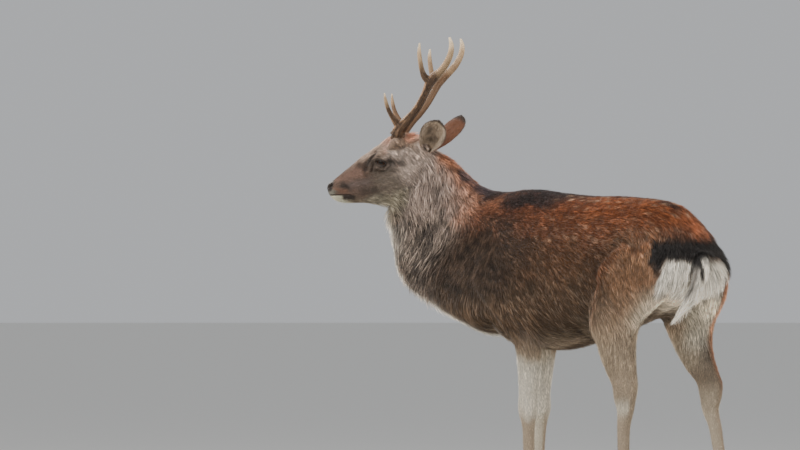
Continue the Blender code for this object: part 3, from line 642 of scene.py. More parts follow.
    def head_masses(self, side: Side) -> list[Surface]:
        """Brow, cheek, lip, ear root and the pedicle that carries an antler."""
        left = -side.value
        masses = [
            ball(HEAD.point(back, up, out * left), radii, HEAD.axes())
            for (back, up, out), radii in (
                ((0.153, 0.034, 0.041), (0.033, 0.021, 0.026)),
                ((0.180, -0.022, 0.034), (0.050, 0.020, 0.044)),
                ((0.024, -0.010, 0.0145), (0.021, 0.0125, 0.0155)),
                ((0.262, 0.040, 0.034), (0.030, 0.021, 0.027)),
            )
        ]
        foot, crown = np.array((0.205, 0.058, 0.030)), np.array(self.pedicle_at)
        t = np.array((0.0, 0.5, 0.9, 1.0))[:, None]
        at = foot + (crown - foot) * t
        r = np.array((0.027, 0.0235, 0.0195, 0.0165))
        middle = HEAD.point(at[:, 0], at[:, 1], left * at[:, 2])
        stations = np.column_stack([middle, r, r, r, 0 * r + 2])
        masses.append(self.loft(stations, HEAD.back, HEAD.left, around=32))
        return masses

    def leg(self, rows: Rows, side: Side) -> Surface:
        """A leg from rows of x, distance from the midline, z, front, back, half-width, fullness."""
        stations = np.array(rows)
        stations[:, 1] *= side.value
        return self.loft(stations, AHEAD, ACROSS, around=36)

    def shank(self, top_x: float, foot_x: float, out: float, knee: float) -> Rows:
        """Cannon, fetlock and pastern rows, from just under the knee or hock down to the hoof.

        Args:
            top_x: x of the knee or hock.
            foot_x: x of the fetlock.
            out: distance from the midline.
            knee: height of the knee or hock.

        Returns:
            The rows, as leg() takes them.
        """

        def at(z: float) -> float:
            """The x of the cannon's middle at a height."""
            return foot_x + (top_x - foot_x) * max(0.0, (z - LEGS.fetlock) / (knee - LEGS.fetlock))

        return [
            (at(0.235), out, 0.235, 0.0185, 0.0200, 0.0175, 2.1),
            (at(0.180), out, 0.180, 0.0168, 0.0190, 0.0160, 2.1),
            (at(0.135), out, 0.135, 0.0175, 0.0205, 0.0175, 2.1),
            (foot_x, out, LEGS.fetlock, 0.0210, 0.0240, 0.0210, 2.0),
            (foot_x - 0.008, out, 0.082, 0.0185, 0.0190, 0.0190, 2.0),
            (foot_x - 0.019, out, 0.058, 0.0195, 0.0190, 0.0200, 2.1),
            (foot_x - 0.027, out, 0.042, 0.0225, 0.0215, 0.0225, 2.3),
            (foot_x - 0.029, out, 0.034, 0.0215, 0.0205, 0.0215, 2.3),
        ]

    def foreleg(self, side: Side) -> Surface:
        """Shoulder, forearm, knee, cannon and pastern of a foreleg."""
        shoulder, knee, foot, out = LEGS.fore[side]
        mid = (shoulder + knee) / 2
        return self.leg([
            (shoulder + 0.030, 0.070, 0.750, 0.040, 0.045, 0.040, 2.0),
            (shoulder + 0.005, 0.086, 0.690, 0.075, 0.085, 0.050, 2.1),
            (shoulder - 0.015, 0.092, 0.610, 0.085, 0.090, 0.053, 2.1),
            (mid - 0.010, 0.090, 0.540, 0.070, 0.080, 0.048, 2.1),
            (mid + 0.008, out + 0.008, 0.490, 0.050, 0.060, 0.041, 2.1),
            (knee + 0.002, out + 0.004, 0.440, 0.038, 0.043, 0.034, 2.1),
            (knee + 0.002, out, 0.380, 0.031, 0.033, 0.0285, 2.1),
            (knee, out, 0.320, 0.0260, 0.0255, 0.0250, 2.1),
            (knee, out, 0.280, 0.0270, 0.0255, 0.0265, 2.2),
            *self.shank(knee, foot, out, 0.280),
        ], side)

    def hindleg(self, side: Side) -> Surface:
        """Haunch, thigh, gaskin, hock, cannon and pastern of a hind leg."""
        stifle, hock, hock_z, foot, out = LEGS.hind[side]

        def between(t: float) -> float:
            """The x at a share of the way from stifle to hock."""
            return stifle + (hock - stifle) * t

        return self.leg([
            (0.460, 0.060, 0.745, 0.080, 0.045, 0.040, 2.0),
            (0.450, 0.080, 0.690, 0.120, 0.095, 0.060, 2.1),
            (0.440, 0.089, 0.630, 0.128, 0.122, 0.066, 2.2),
            (stifle * 0.55 + 0.190, 0.095, 0.570, 0.095, 0.150, 0.062, 2.2),
            (between(0.20), out + 0.006, 0.505, 0.062, 0.100, 0.050, 2.1),
            (between(0.48), out + 0.002, 0.445, 0.056, 0.064, 0.039, 2.1),
            (between(0.75), out, 0.392, 0.048, 0.050, 0.032, 2.1),
            (between(0.96), out, hock_z + 0.012, 0.0330, 0.0450, 0.0270, 2.1),
            (between(1.02), out, hock_z - 0.022, 0.0280, 0.0360, 0.0255, 2.1),
            (hock + 0.004, out, hock_z - 0.058, 0.0225, 0.0250, 0.0210, 2.1),
            *self.shank(hock, foot, out, hock_z),
        ], side)

    def tail(self) -> Surface:
        """The short tail, hanging from the rump and swung a little to the left."""
        return self.loft(np.array(TAIL_ROWS), AHEAD, ACROSS, around=24)

    def skin(self) -> Surface:
        """The whole skin, finest on the face, lying as deep as the coat that stands on it."""
        parts = [self.trunk(), self.neck(), self.skull(), self.tail()]
        for side in Side:
            parts += [self.foreleg(side), self.hindleg(side), *self.head_masses(side)]
        skin = fused(parts, self.voxel)
        on_head = self.ahead_of(skin, 0.255)
        share = np.where(skin.points[:, 2] < 0.44, 0.10, 0.9)
        share = np.where(on_head, np.where(self.ahead_of(skin, 0.12), 0.12, 0.45), share)
        share = np.where(tail_share(skin.points) > 0.1, 0.15, share)
        skin = smoothed(skin, int(16 * (0.0045 / self.voxel) ** 2), share)
        ease = np.where(on_head, 0.02, np.where(skin.points[:, 2] < 0.45, 0.5, 0.8))
        skin = thinned(skin, self.triangles, ease)
        skin = refined(skin, self.ahead_of(skin, 0.185))
        face = ramp(HEAD.measure(skin.points)[0], 0.20, 0.18) * self.ahead_of(skin, 0.20)
        skin = smoothed(skin, 4, face * 0.8, spring=1.02)
        normals = skin.normals()
        depth = CoatFields(Places(skin.points, normals)).depth()
        x, y, z = skin.points.T
        depth = depth + self.crease * thigh_gap(x, z)[0] * (np.abs(y) > 0.09)
        skin.points = skin.points - normals * depth[:, None]
        self.carve_face(skin, normals)
        return skin

    @staticmethod
    def ahead_of(skin: Surface, reach: float) -> Array:
        """Which points are on the head, and no further back from the nose than reach."""
        back, up, out = HEAD.measure(skin.points)
        return (back < reach) & (up > -0.085) & (np.abs(out) < 0.09)

    def carve_face(self, skin: Surface, normals: Array) -> None:
        """Pushes the mouth, nostrils, eye sockets and tear pits into the skin.

        Each is a bell of the distance from a line or a place, times a depth.
        """
        back, up, out = HEAD.measure(skin.points)
        close = (back < 0.20) & (np.abs(out) < 0.09) & (up > -0.09)
        push = np.zeros(len(back))
        lips = line_gap(back, up, MOUTH_LINE)
        push += 0.0026 * bump(lips, 0, 0.0016) * ramp(back, 0.066, 0.058) * (np.abs(out) > 0.004)
        philtrum = bump(out, 0.0, 0.0012) * ramp(back, 0.02, 0.012) * ramp(up, 0.006, -0.002)
        push += 0.0012 * philtrum
        for side in (-1.0, 1.0):
            here = out * side > 0
            slit = nostril_gap(back, up, out * side)
            push += 0.0065 * ramp(slit, 1.15, 0.55) * here
            push -= 0.0011 * bump(slit, 1.55, 0.30) * here * (back < 0.04)
            tear = line_gap(back, up, TEAR_LINE)
            push += 0.0036 * bump(tear, 0, 0.0026) * here
            fold = line_gap(back, up, BROW_FOLD)
            push += 0.0036 * bump(fold, 0, 0.0042) * here
            clear = ramp(np.hypot(back - EYE_BACK, up - EYE_UP), 0.024, 0.032)
            push -= 0.0022 * bump(fold, 0.0105, 0.0050) * here * clear
            eye = eye_gap(back, up)
            push += 0.0130 * ramp(eye, 1.30, 0.90) * here
            push -= 0.0012 * bump(eye, 1.75, 0.30) * here
            lid = line_gap(back, up, LOWER_LID)
            push -= 0.0010 * bump(lid, 0, 0.0030) * here
            push += 0.0012 * bump(lid, 0.0060, 0.0026) * here * (eye > 2.0) * ramp(up, 0.014, 0.006)
        skin.points -= normals * (push * close)[:, None]


# Lines on the side of the head, as places back and up in the head's frame.
MOUTH_LINE = ((0.000, -0.0150), (0.0072, -0.0179), (0.0190, -0.0208), (0.0300, -0.0236),
              (0.0420, -0.0258), (0.0520, -0.0284), (0.0605, -0.0322))
TEAR_LINE = ((0.1410, 0.0330), (0.1337, 0.0225), (0.1279, 0.0139))
BROW_FOLD = ((0.1485, 0.0540), (0.1430, 0.0513), (0.1343, 0.0438), (0.1275, 0.0374),
             (0.1190, 0.0293), (0.1130, 0.0200))
LOWER_LID = ((0.1385, 0.0280), (0.1430, 0.0215), (0.1512, 0.0150), (0.1632, 0.0112),
             (0.1766, 0.0170))
EYE_BACK, EYE_UP, EYE_TILT = 0.1584, 0.0282, -0.50
EYE_COS, EYE_SIN = math.cos(EYE_TILT), math.sin(EYE_TILT)
EYE_LONG, EYE_HIGH = 0.0118, 0.0060  # half of the opening between the lids


def line_gap(back: Array, up: Array, line: Sequence[tuple[float, float]]) -> Array:
    """Distance, seen from the side of the head, from a line through the given places."""
    gap = np.full(len(back), 9.0)
    for (b0, u0), (b1, u1) in zip(line, line[1:]):
        run, rise = b1 - b0, u1 - u0
        t = np.clip(((back - b0) * run + (up - u0) * rise) / (run * run + rise * rise), 0, 1)
        gap = np.minimum(gap, np.hypot(back - b0 - run * t, up - u0 - rise * t))
    return gap


def nostril_gap(back: Array, up: Array, out: Array) -> Array:
    """Distance from a nostril's middle in its own half-lengths: a comma, long ways along."""
    along = (back - 0.0125) * 0.86 + (up - 0.0050) * 0.50
    across = -(back - 0.0125) * 0.50 + (up - 0.0050) * 0.86
    return np.sqrt((along / 0.0072) ** 2 + (across / 0.0040) ** 2 + ((out - 0.0160) / 0.011) ** 2)


def eye_gap(back: Array, up: Array) -> Array:
    """Distance from the eye's middle in half-lengths of the opening between the lids."""
    b, u = back - EYE_BACK, up - EYE_UP
    return np.hypot((b * EYE_COS + u * EYE_SIN) / EYE_LONG, (-b * EYE_SIN + u * EYE_COS) / EYE_HIGH)


# ---- coat: lie, length and colour ----
def behind_eye(p: Places) -> Array:
    """Share of temple and cheek, where the hair turns down towards the throat."""
    return ramp(p.back + 0.25 * p.up, 0.165, 0.200) * ramp(p.normals @ HEAD.up, 0.75, 0.45)


@dataclass
class CoatFields:
    """What the coat is like at each place: its depth, length, lie and colour."""

    places: Places

    def rump_patch(self) -> tuple[Array, Array]:
        """Shares of the white rump patch and of the black band over and beside it."""
        p = self.places
        x, y, z = p.points.T
        rough = 0.010 * noise(p.points, 0.020, 41) + 0.006 * noise(p.points, 0.008, 42)
        turn = x + 0.10 * p.normals[:, 0] + rough
        high = np.where(z > 0.57, 0.108 - 0.010 * bump(y, -0.034, 0.022), 0.125)
        wide = 0.165 - (y > 0) * (0.076 + 0.024 * ramp(z, 0.635, 0.560))
        e = ((np.abs(y) / wide) ** 4 + (np.abs(z - 0.570) / high) ** 4) ** 0.25 + rough * 3
        white = ramp(e, 1.05, 0.95) * ramp(turn - 0.024 * (y < 0), 0.566, 0.586)
        top = 0.730 + 0.012 * bump(y, 0.0, 0.07)
        over = ramp(e, 0.95, 1.05) * ramp(z - 0.05 * (y > 0), 0.56, 0.60) * ramp(z, top, 0.716) \
            * ramp(z, 0.62, 0.66)
        beside = ramp(turn, 0.556, 0.570) * ramp(turn, 0.604, 0.586) * ramp(z, 0.620, 0.668) \
            * ramp(z, 0.730, 0.716)
        return white, np.clip(np.maximum(over * ramp(turn, 0.535, 0.552), beside), 0, 1)

    def length(self) -> Array:
        """Length of the hair: longest on the mane and rump, shortest on face and feet."""
        p = self.places
        x, _, z = p.points.T
        low_front = ramp(p.normals[:, 0], 0.1, -0.7)
        nape = ramp(p.normals[:, 2], 0.2, 0.8)
        neck = 0.040 - 0.012 * nape + 0.018 * low_front * ramp(z, 0.72, 0.64) \
            - 0.010 * low_front * ramp(z, 0.66, 0.72)
        trunk = 0.020 + 0.009 * ramp(z, 0.60, 0.50) \
            + 0.016 * ramp(x, 0.0, -0.15) * ramp(z, 0.62, 0.50)
        legs = 0.006 + 0.013 * ramp(z, 0.30, 0.50) + 0.003 * bump(z, 0.30, 0.03) \
            + 0.008 * ramp(z, 0.078, 0.060)
        jaw = self.under_jaw() * (1 - 0.5 * ramp(p.back, 0.115, 0.150))
        face = 0.0034 + 0.0052 * ramp(p.back, 0.03, 0.16) + 0.007 * ramp(p.back, 0.19, 0.27) \
            + 0.042 * jaw + 0.006 * self.behind_antlers()
        face = face * (1 - 0.45 * ramp(eye_gap(p.back, p.up), 3.0, 1.5) * (np.abs(p.out) > 0.015))
        white, black = self.rump_patch()
        trunk = trunk + (0.040 - trunk) * white + (0.030 - trunk) * black * (1 - white)
        length = p.trunk * trunk + p.neck * neck + p.legs * legs + p.head * face
        tail = 0.034 - 0.022 * ramp(p.normals[:, 2], 0.1, 0.6)
        return length + (tail - length) * p.tail

    def depth(self) -> Array:
        """How deep the skin lies under the tips of the coat."""
        p = self.places
        z = p.points[:, 2]
        neck = 0.010 + 0.006 * ramp(p.normals[:, 2], 0.6, -0.2)
        legs = 0.0022 + 0.0045 * ramp(z, 0.32, 0.50)
        face = 0.0009 + 0.0014 * ramp(p.back, 0.03, 0.16) + 0.004 * ramp(p.back, 0.19, 0.27)
        face = face * (1 - 0.9 * ramp(p.back, 0.022, 0.010))
        white, black = self.rump_patch()
        trunk = 0.0075 + 0.004 * np.clip(white + black, 0, 1)
        depth = p.trunk * trunk + p.neck * neck + p.legs * legs + p.head * face
        return depth + (0.0055 - depth) * p.tail

    def stand(self) -> Array:
        """How far the tips stand off the skin: the coat's depth, and more under the jaw."""
        p = self.places
        flat = self.depth() * (1 - 0.7 * p.tail * ramp(p.normals[:, 2], 0.1, 0.6))
        z = p.points[:, 2]
        flat = flat * (1 - 0.75 * p.neck * ramp(p.normals[:, 0], 0.2, -0.3) * ramp(z, 0.670, 0.715))
        jaw = self.under_jaw() * (1 - 0.4 * ramp(p.back, 0.125, 0.155))
        return flat + (0.026 * jaw + 0.012 * self.behind_antlers()) * p.head

    def behind_antlers(self) -> Array:
        """Share of the upright tuft between the ears."""
        p = self.places
        middle = ramp(np.abs(p.out), 0.050, 0.036)
        return ramp(p.back, 0.228, 0.244) * ramp(p.up, 0.045, 0.062) * middle

    def under_jaw(self) -> Array:
        """Share of the long hair that hangs from the jaw and fills the corner with the neck."""
        p = self.places
        return ramp(p.back, 0.072, 0.150) * ramp(p.up, -0.040, -0.068)

    def lie(self) -> Array:
        """The way the hair lies: back and down the trunk, down the neck and legs, nose to poll."""
        p = self.places
        x, y, z = p.points.T
        count = len(x)

        def everywhere(vector: Sequence[float]) -> Array:
            """One vector for all points."""
            return np.broadcast_to(np.array(vector, float), (count, 3))

        low = ramp(z, 0.74, 0.56)
        trunk = blend(everywhere((0.93, 0, -0.30)), everywhere((0.62, 0, -0.78)), low)
        trunk = blend(trunk, everywhere((0.95, 0, -0.1)), ramp(p.normals[:, 2], -0.4, -0.8))
        haunch = ramp(x, 0.36, 0.46) * ramp(z, 0.80, 0.68)
        trunk = blend(trunk, everywhere((0.42, 0, -0.90)), haunch)
        aside = 0.42 * np.tanh((y + 0.012) / 0.05) - 0.30 * (y > 0.05)
        trunk = blend(trunk, np.stack([0 * y, aside, -0.88 + 0 * y], axis=1), p.rear)
        front = ramp(p.normals[:, 0], 0.1, -0.7)
        side = blend(everywhere((0.34, 0, -0.94)), everywhere((-0.22, 0, -0.97)), front)
        neck = blend(side, everywhere((0.85, 0, -0.50)), ramp(p.normals[:, 2], 0.25, 0.75))
        face = blend(np.broadcast_to(HEAD.back, (count, 3)), HEAD.back * 0.75 - HEAD.up * 0.65,
                     ramp(p.up, 0.02, -0.05) * ramp(p.back, 0.08, 0.2))
        face = blend(face, HEAD.back * 0.50 - HEAD.up * 0.85, behind_eye(p))
        face = self.round_the_eye(face)
        legs = everywhere((0.10, 0, -0.99))
        way = trunk * p.trunk[:, None] + neck * p.neck[:, None] + legs * p.legs[:, None] \
            + face * p.head[:, None]
        forward = ramp(x, 0.06, -0.10) * ramp(z, 0.79, 0.69) * ramp(z, 0.50, 0.58)
        forward = forward * (p.trunk + p.neck) * (1 - 0.85 * ramp(p.normals[:, 0], -0.25, -0.80))
        way = blend(way, everywhere((-0.30, 0, -0.95)), forward)
        way = blend(way, everywhere((0.05, -0.50, -0.86)), p.tail)
        wave = noise_vector(p.points, 0.045, 11) * (0.16 + 0.20 * p.neck)[:, None]
        wave = wave * (1 - 0.7 * p.head[:, None] - 0.5 * p.legs[:, None])
        way = unit(way)
        flat = unit(way - p.normals * (dots(way, p.normals) * 0.98)[:, None]) + wave
        return unit(flat - p.normals * dots(flat, p.normals)[:, None])

    def round_the_eye(self, way: Array) -> Array:
        """Turns hair aside as a stream round a pillar: 1 - cos 2a / r^2 along, -sin 2a / r^2 up."""
        p = self.places
        along = HEAD.back * EYE_COS + HEAD.up * EYE_SIN
        rise = HEAD.up * EYE_COS - HEAD.back * EYE_SIN
        b, u = p.back - EYE_BACK, p.up - EYE_UP
        dx = (b * EYE_COS + u * EYE_SIN) / (EYE_LONG * 1.25)
        dy = (u * EYE_COS - b * EYE_SIN) / (EYE_HIGH * 1.6)
        r2 = np.maximum(dx * dx + dy * dy, 0.8)
        angle = 2 * np.arctan2(dy, dx)
        stream = along * (1 - np.cos(angle) / r2)[:, None] + rise * (-np.sin(angle) / r2)[:, None]
        near = ramp(np.sqrt(r2), 2.6, 1.6) * (np.abs(p.out) > 0.015)
        return blend(way, unit(stream + 1e-6), near)

    def tint(self) -> Array:
        """The coat's colour: red back, drab flank, grey mane, brow paled as a painted highlight,
        white rump, fawn legs, with painted rim highlights and painted shade.
        """
        return painted(self.places, *self.rump_patch())


@dataclass(frozen=True)
class Tints:
    """The coat's colours, each in linear red, green and blue."""

    chestnut: Colour = (0.290, 0.090, 0.031)
    flank: Colour = (0.124, 0.055, 0.023)
    drab: Colour = (0.126, 0.075, 0.042)
    belly: Colour = (0.095, 0.063, 0.037)
    haunch: Colour = (0.390, 0.210, 0.110)
    thigh: Colour = (0.460, 0.320, 0.210)
    shoulder: Colour = (0.062, 0.041, 0.028)
    withers: Colour = (0.028, 0.021, 0.021)
    speckle: Colour = (0.620, 0.400, 0.250)
    mane: Colour = (0.315, 0.240, 0.198)
    mane_low: Colour = (0.066, 0.050, 0.040)
    mane_front: Colour = (0.640, 0.590, 0.510)
    # also laid on the far edge of haunch and hind leg as a painted rim highlight
    nape: Colour = (0.450, 0.185, 0.090)
    nape_line: Colour = (0.070, 0.050, 0.055)
    # pale hair down the front of the neck, brightened as a painted rim highlight
    fringe: Colour = (0.800, 0.750, 0.660)
    white: Colour = (0.940, 0.895, 0.800)
    black: Colour = (0.016, 0.013, 0.012)
    # a painted rim highlight, laid on the thigh's front edge and the rump's upper far edge
    rim: Colour = (0.520, 0.160, 0.060)
    face: Colour = (0.112, 0.080, 0.058)
    # a painted highlight, laid where the face turns up
    brow: Colour = (0.560, 0.410, 0.315)
    cheek: Colour = (0.185, 0.145, 0.110)
    muzzle: Colour = (0.066, 0.036, 0.022)
    bridge: Colour = (0.145, 0.086, 0.060)
    throat: Colour = (0.420, 0.370, 0.270)
    temple: Colour = (0.660, 0.525, 0.440)
    crown: Colour = (0.300, 0.200, 0.135)
    rose: Colour = (0.285, 0.165, 0.122)
    slate: Colour = (0.150, 0.110, 0.096)
    rust: Colour = (0.225, 0.110, 0.066)
    lip: Colour = (0.190, 0.180, 0.140)
    poll: Colour = (0.860, 0.400, 0.250)
    nose: Colour = (0.026, 0.017, 0.012)
    chin: Colour = (0.620, 0.590, 0.440)
    dark: Colour = (0.030, 0.019, 0.013)
    leg: Colour = (0.480, 0.375, 0.265)
    leg_pale: Colour = (0.800, 0.720, 0.570)
    gland: Colour = (0.800, 0.720, 0.580)
    banded: Colour = (0.460, 0.360, 0.280)
    ear_out: Colour = (0.165, 0.066, 0.034)
    ear_warm: Colour = (0.230, 0.094, 0.046)
    ear_in: Colour = (0.520, 0.400, 0.290)
    # the next two are painted shade inside the ear's hollow
    ear_hollow: Colour = (0.055, 0.036, 0.024)
    ear_shade: Colour = (0.075, 0.048, 0.032)
    ear_fringe: Colour = (0.660, 0.540, 0.420)
    ear_edge: Colour = (0.034, 0.023, 0.017)


TINTS = Tints()


def layered(base: Colour | Array, *layers: tuple[str, Array]) -> Array:
    """Colours laid one over another.

    Args:
        base: the lowest, one colour for all points or one for each.
        layers: a colour's name in TINTS and its share at each point, lowest first.

    Returns:
        A colour for each point.
    """
    colour = np.asarray(base)
    for name, share in layers:
        colour = blend(colour, np.array(getattr(TINTS, name)), share)
    return colour


def painted(p: Places, white: Array, black: Array) -> Array:
    """The markings, with painted rim highlights and painted shade, as layers of one colour over
    another by shares that fade at their edges.

    Args:
        p: places and their shares.
        white: share of the rump patch.
        black: share of its dark band.

    Returns:
        A colour for each point.
    """
    x, y, z = p.points.T
    nx, ny, nz = p.normals.T
    soft = 0.022 * noise(p.points, 0.035, 3) + 0.012 * noise(p.points, 0.012, 4)
    zs, xs, ys = z + soft, x + soft, np.abs(y) + 0.5 * soft
    # shares of the painted shade before the thigh's front edge and of the painted highlight on it
    crease, edge = thigh_gap(xs, zs)
    far_chestnut_and_highlight, turn = ramp(y, 0.088, 0.104), x + 0.05 * nx
    band = ramp(y, 0.050, 0.066) * ramp(y - 0.06 * ramp(z, 0.60, 0.63), 0.108, 0.094) \
        * ramp(turn, 0.50, 0.55)
    inward = ny * np.sign(y)
    ahead = -nx / np.maximum(np.hypot(nx, ny), 1e-6)
    trunk = layered(
        TINTS.flank,
        ("chestnut", ramp(zs, 0.68, 0.785)),
        ("drab", ramp(zs, 0.68, 0.56)),
        ("haunch", ramp(xs, 0.34, 0.45) * ramp(zs, 0.77, 0.66)),
        ("thigh", ramp(xs, 0.28, 0.38) * ramp(zs, 0.62, 0.50)),
        # painted shade in front of the thigh's edge, then a painted rim highlight along the edge
        ("shoulder", 0.36 * crease * (ys > 0.08)),
        ("rim", 0.22 * edge * (ys > 0.08)),
        ("shoulder", ramp(xs, 0.22, -0.05) * ramp(zs, 0.83, 0.72) * 0.9),
        ("drab", ramp(xs, 0.20, 0.05) * ramp(zs, 0.62, 0.52)),
        ("belly", ramp(nz + soft, -0.35, -0.75) * ramp(xs, 0.50, 0.40)),
        ("leg_pale", 0.70 * ramp(nz + soft, -0.10, -0.50) * ramp(xs, 0.38, 0.47)),
        ("withers", 0.95 * ramp(xs, 0.30, 0.08) * ramp(zs, 0.765, 0.825)),
        ("withers", 0.75 * ramp(ys, 0.034, 0.010) * ramp(nz, 0.5, 0.9) * (x > 0)
         * ramp(xs, 0.50, 0.44)),
        # painted rim highlight along the rump's upper far edge
        ("rim", 0.80 * ramp(xs, 0.44, 0.53) * ramp(zs, 0.68, 0.72) * ramp(y, -0.05, 0.02)),
        ("speckle", speckles(x, np.abs(y) + 0.83 - z) * ramp(x, 0.08, 0.16) * ramp(x, 0.57, 0.53)),
        ("leg_pale", ramp(x + 0.1 * nx, 0.560, 0.585) * ramp(zs, 0.56, 0.50)
         * ramp(zs, 0.42, 0.46) * (y < 0.085)),
        ("withers", 0.45 * ramp(xs, 0.49, 0.54) * (y < 0) * ramp(zs, 0.55, 0.61)),
        ("withers", 0.85 * band * ramp(zs, 0.38, 0.44)),
        # the far haunch's own chestnut, brightened to the nape's orange as a painted rim highlight
        ("nape", 0.75 * far_chestnut_and_highlight * ramp(turn, 0.50, 0.55) * ramp(zs, 0.64, 0.60)),
        ("white", white),
        ("drab", 0.65 * white * ramp(y, -0.06, -0.10) * ramp(zs, 0.605, 0.565)),
        ("black", black),
        ("leg_pale", 0.95 * ramp(inward, 0.25, -0.35) * ramp(x, 0.42, 0.48) * ramp(z, 0.62, 0.57)))
    below_nape, below_ridge = (z - np.interp(x, *np.array(line).T) for line in (NAPE, RIDGE))
    line = np.maximum(ramp(nz + soft, 0.70, 0.86),
                      0.9 * ramp(below_ridge + 0.2 * soft, -0.014, -0.005))
    mane = layered(
        TINTS.mane,
        ("mane_low", ramp(zs + 0.45 * (xs + 0.30), 0.89, 0.715)),
        ("mane_front", 0.75 * ramp(ahead, -0.1, 0.5) * ramp(zs, 0.66, 0.78)),
        ("nape", ramp(nz + 4 * soft, 0.20, 0.70) * 0.85 * ramp(below_nape + soft, -0.130, -0.060)),
        ("nape_line", line * ramp(x, -0.285, -0.262)),
        ("withers", ramp(xs, -0.22, -0.08) * ramp(zs, 0.80, 0.835)))
    colour = layered(
        blend(trunk, mane, p.neck),
        ("nape", 0.60 * bump(xs, -0.088, 0.045) * bump(z + 0.4 * soft, 0.803, 0.017)),
        # pale front hair, brightened as a painted rim highlight where the neck faces forward
        ("fringe", 0.95 * ramp(ahead + 2 * soft, 0.35, 0.75) * ramp(xs, -0.06, -0.14)
         * ramp(nz, 0.6, 0.2) * ramp(ys, 0.098, 0.078) * (1 - p.head)))
    inner = ramp(inward, 0.0, -0.6)
    stocking = ramp(zs, 0.43, 0.39) * ramp(zs, 0.24, 0.30) * (x < 0.2)
    legs = layered(
        TINTS.leg,
        ("leg_pale", inner * np.where(x < 0.2, 0.8, 0.25)),
        ("leg_pale", stocking * 0.9),
        ("white", stocking * 0.5),
        ("drab", 0.5 * ramp(nx, -0.3, -0.9) * ramp(z, 0.30, 0.20)),
        ("leg_pale", 0.9 * inner * ramp(z, 0.42, 0.50) * ramp(x, 0.42, 0.48)),
        ("white", 0.45 * inner * (y > 0) * bump(z, 0.470, 0.030) * ramp(x, 0.42, 0.48)),
        ("withers", 0.60 * band * ramp(z, 0.35, 0.43)),
        ("drab", 0.55 * (y > 0) * (x > 0.4) * bump(z, 0.365, 0.030)),
        # the far hind leg's chestnut, brightened to the nape's orange as a painted rim highlight
        ("nape", 0.70 * far_chestnut_and_highlight * ramp(turn, 0.49, 0.54) * ramp(z, 0.30, 0.40)),
        ("gland", (x > 0.3) * bump(z, 0.288, 0.020) * ramp(inward, 0.3, 0.8)))
    colour = blend(blend(colour, legs, p.legs), face_paint(p), p.head)
    tail_y, tail_z = -np.array(TAIL_ROWS).T[1:3]
    # painted shadow along the tail's left edge, where it hangs against the buttock
    tail_edge_shadow = bump(y + np.interp(-z, tail_z, tail_y), -0.018, 0.006)
    root = ramp(zs, 0.638, 0.652) * np.maximum(ramp(y, -0.028, -0.036), ramp(zs, 0.660, 0.672))
    tail = layered(TINTS.white, ("dark", 0.8 * tail_edge_shadow * ramp(z, 0.54, 0.60)), ("black", root))
    return blend(colour, tail, p.tail)


def speckles(x: Array, down: Array) -> Array:
    """Pale flecks in loose rows along the back, each moved by chance.

    Args:
        x: the way along the body.
        down: the way down its side from the back.

    Returns:
        The flecks' share at each point.
    """
    rng = np.random.default_rng(19)
    total = np.zeros(len(x))
    step = 0.034
    for row, height in enumerate((0.036, 0.073, 0.122, 0.168, 0.208, 0.245)):
        run = x - 0.017 * (row % 2)
        number = np.round(run / step)
        index = number.astype(int) % 64
        dx, dz = rng.uniform(-0.011, 0.011, 64)[index], rng.uniform(-0.009, 0.009, 64)[index]
        gap = np.hypot((run - number * step - dx) / 1.5, (down - height - dz) / 1.3)
        strength = rng.uniform(0.15, 0.75, 64)[index] * (1 - 0.5 * (height > 0.1))
        total = np.maximum(total, ramp(gap, 0.0085, 0.0035) * strength)
    return total


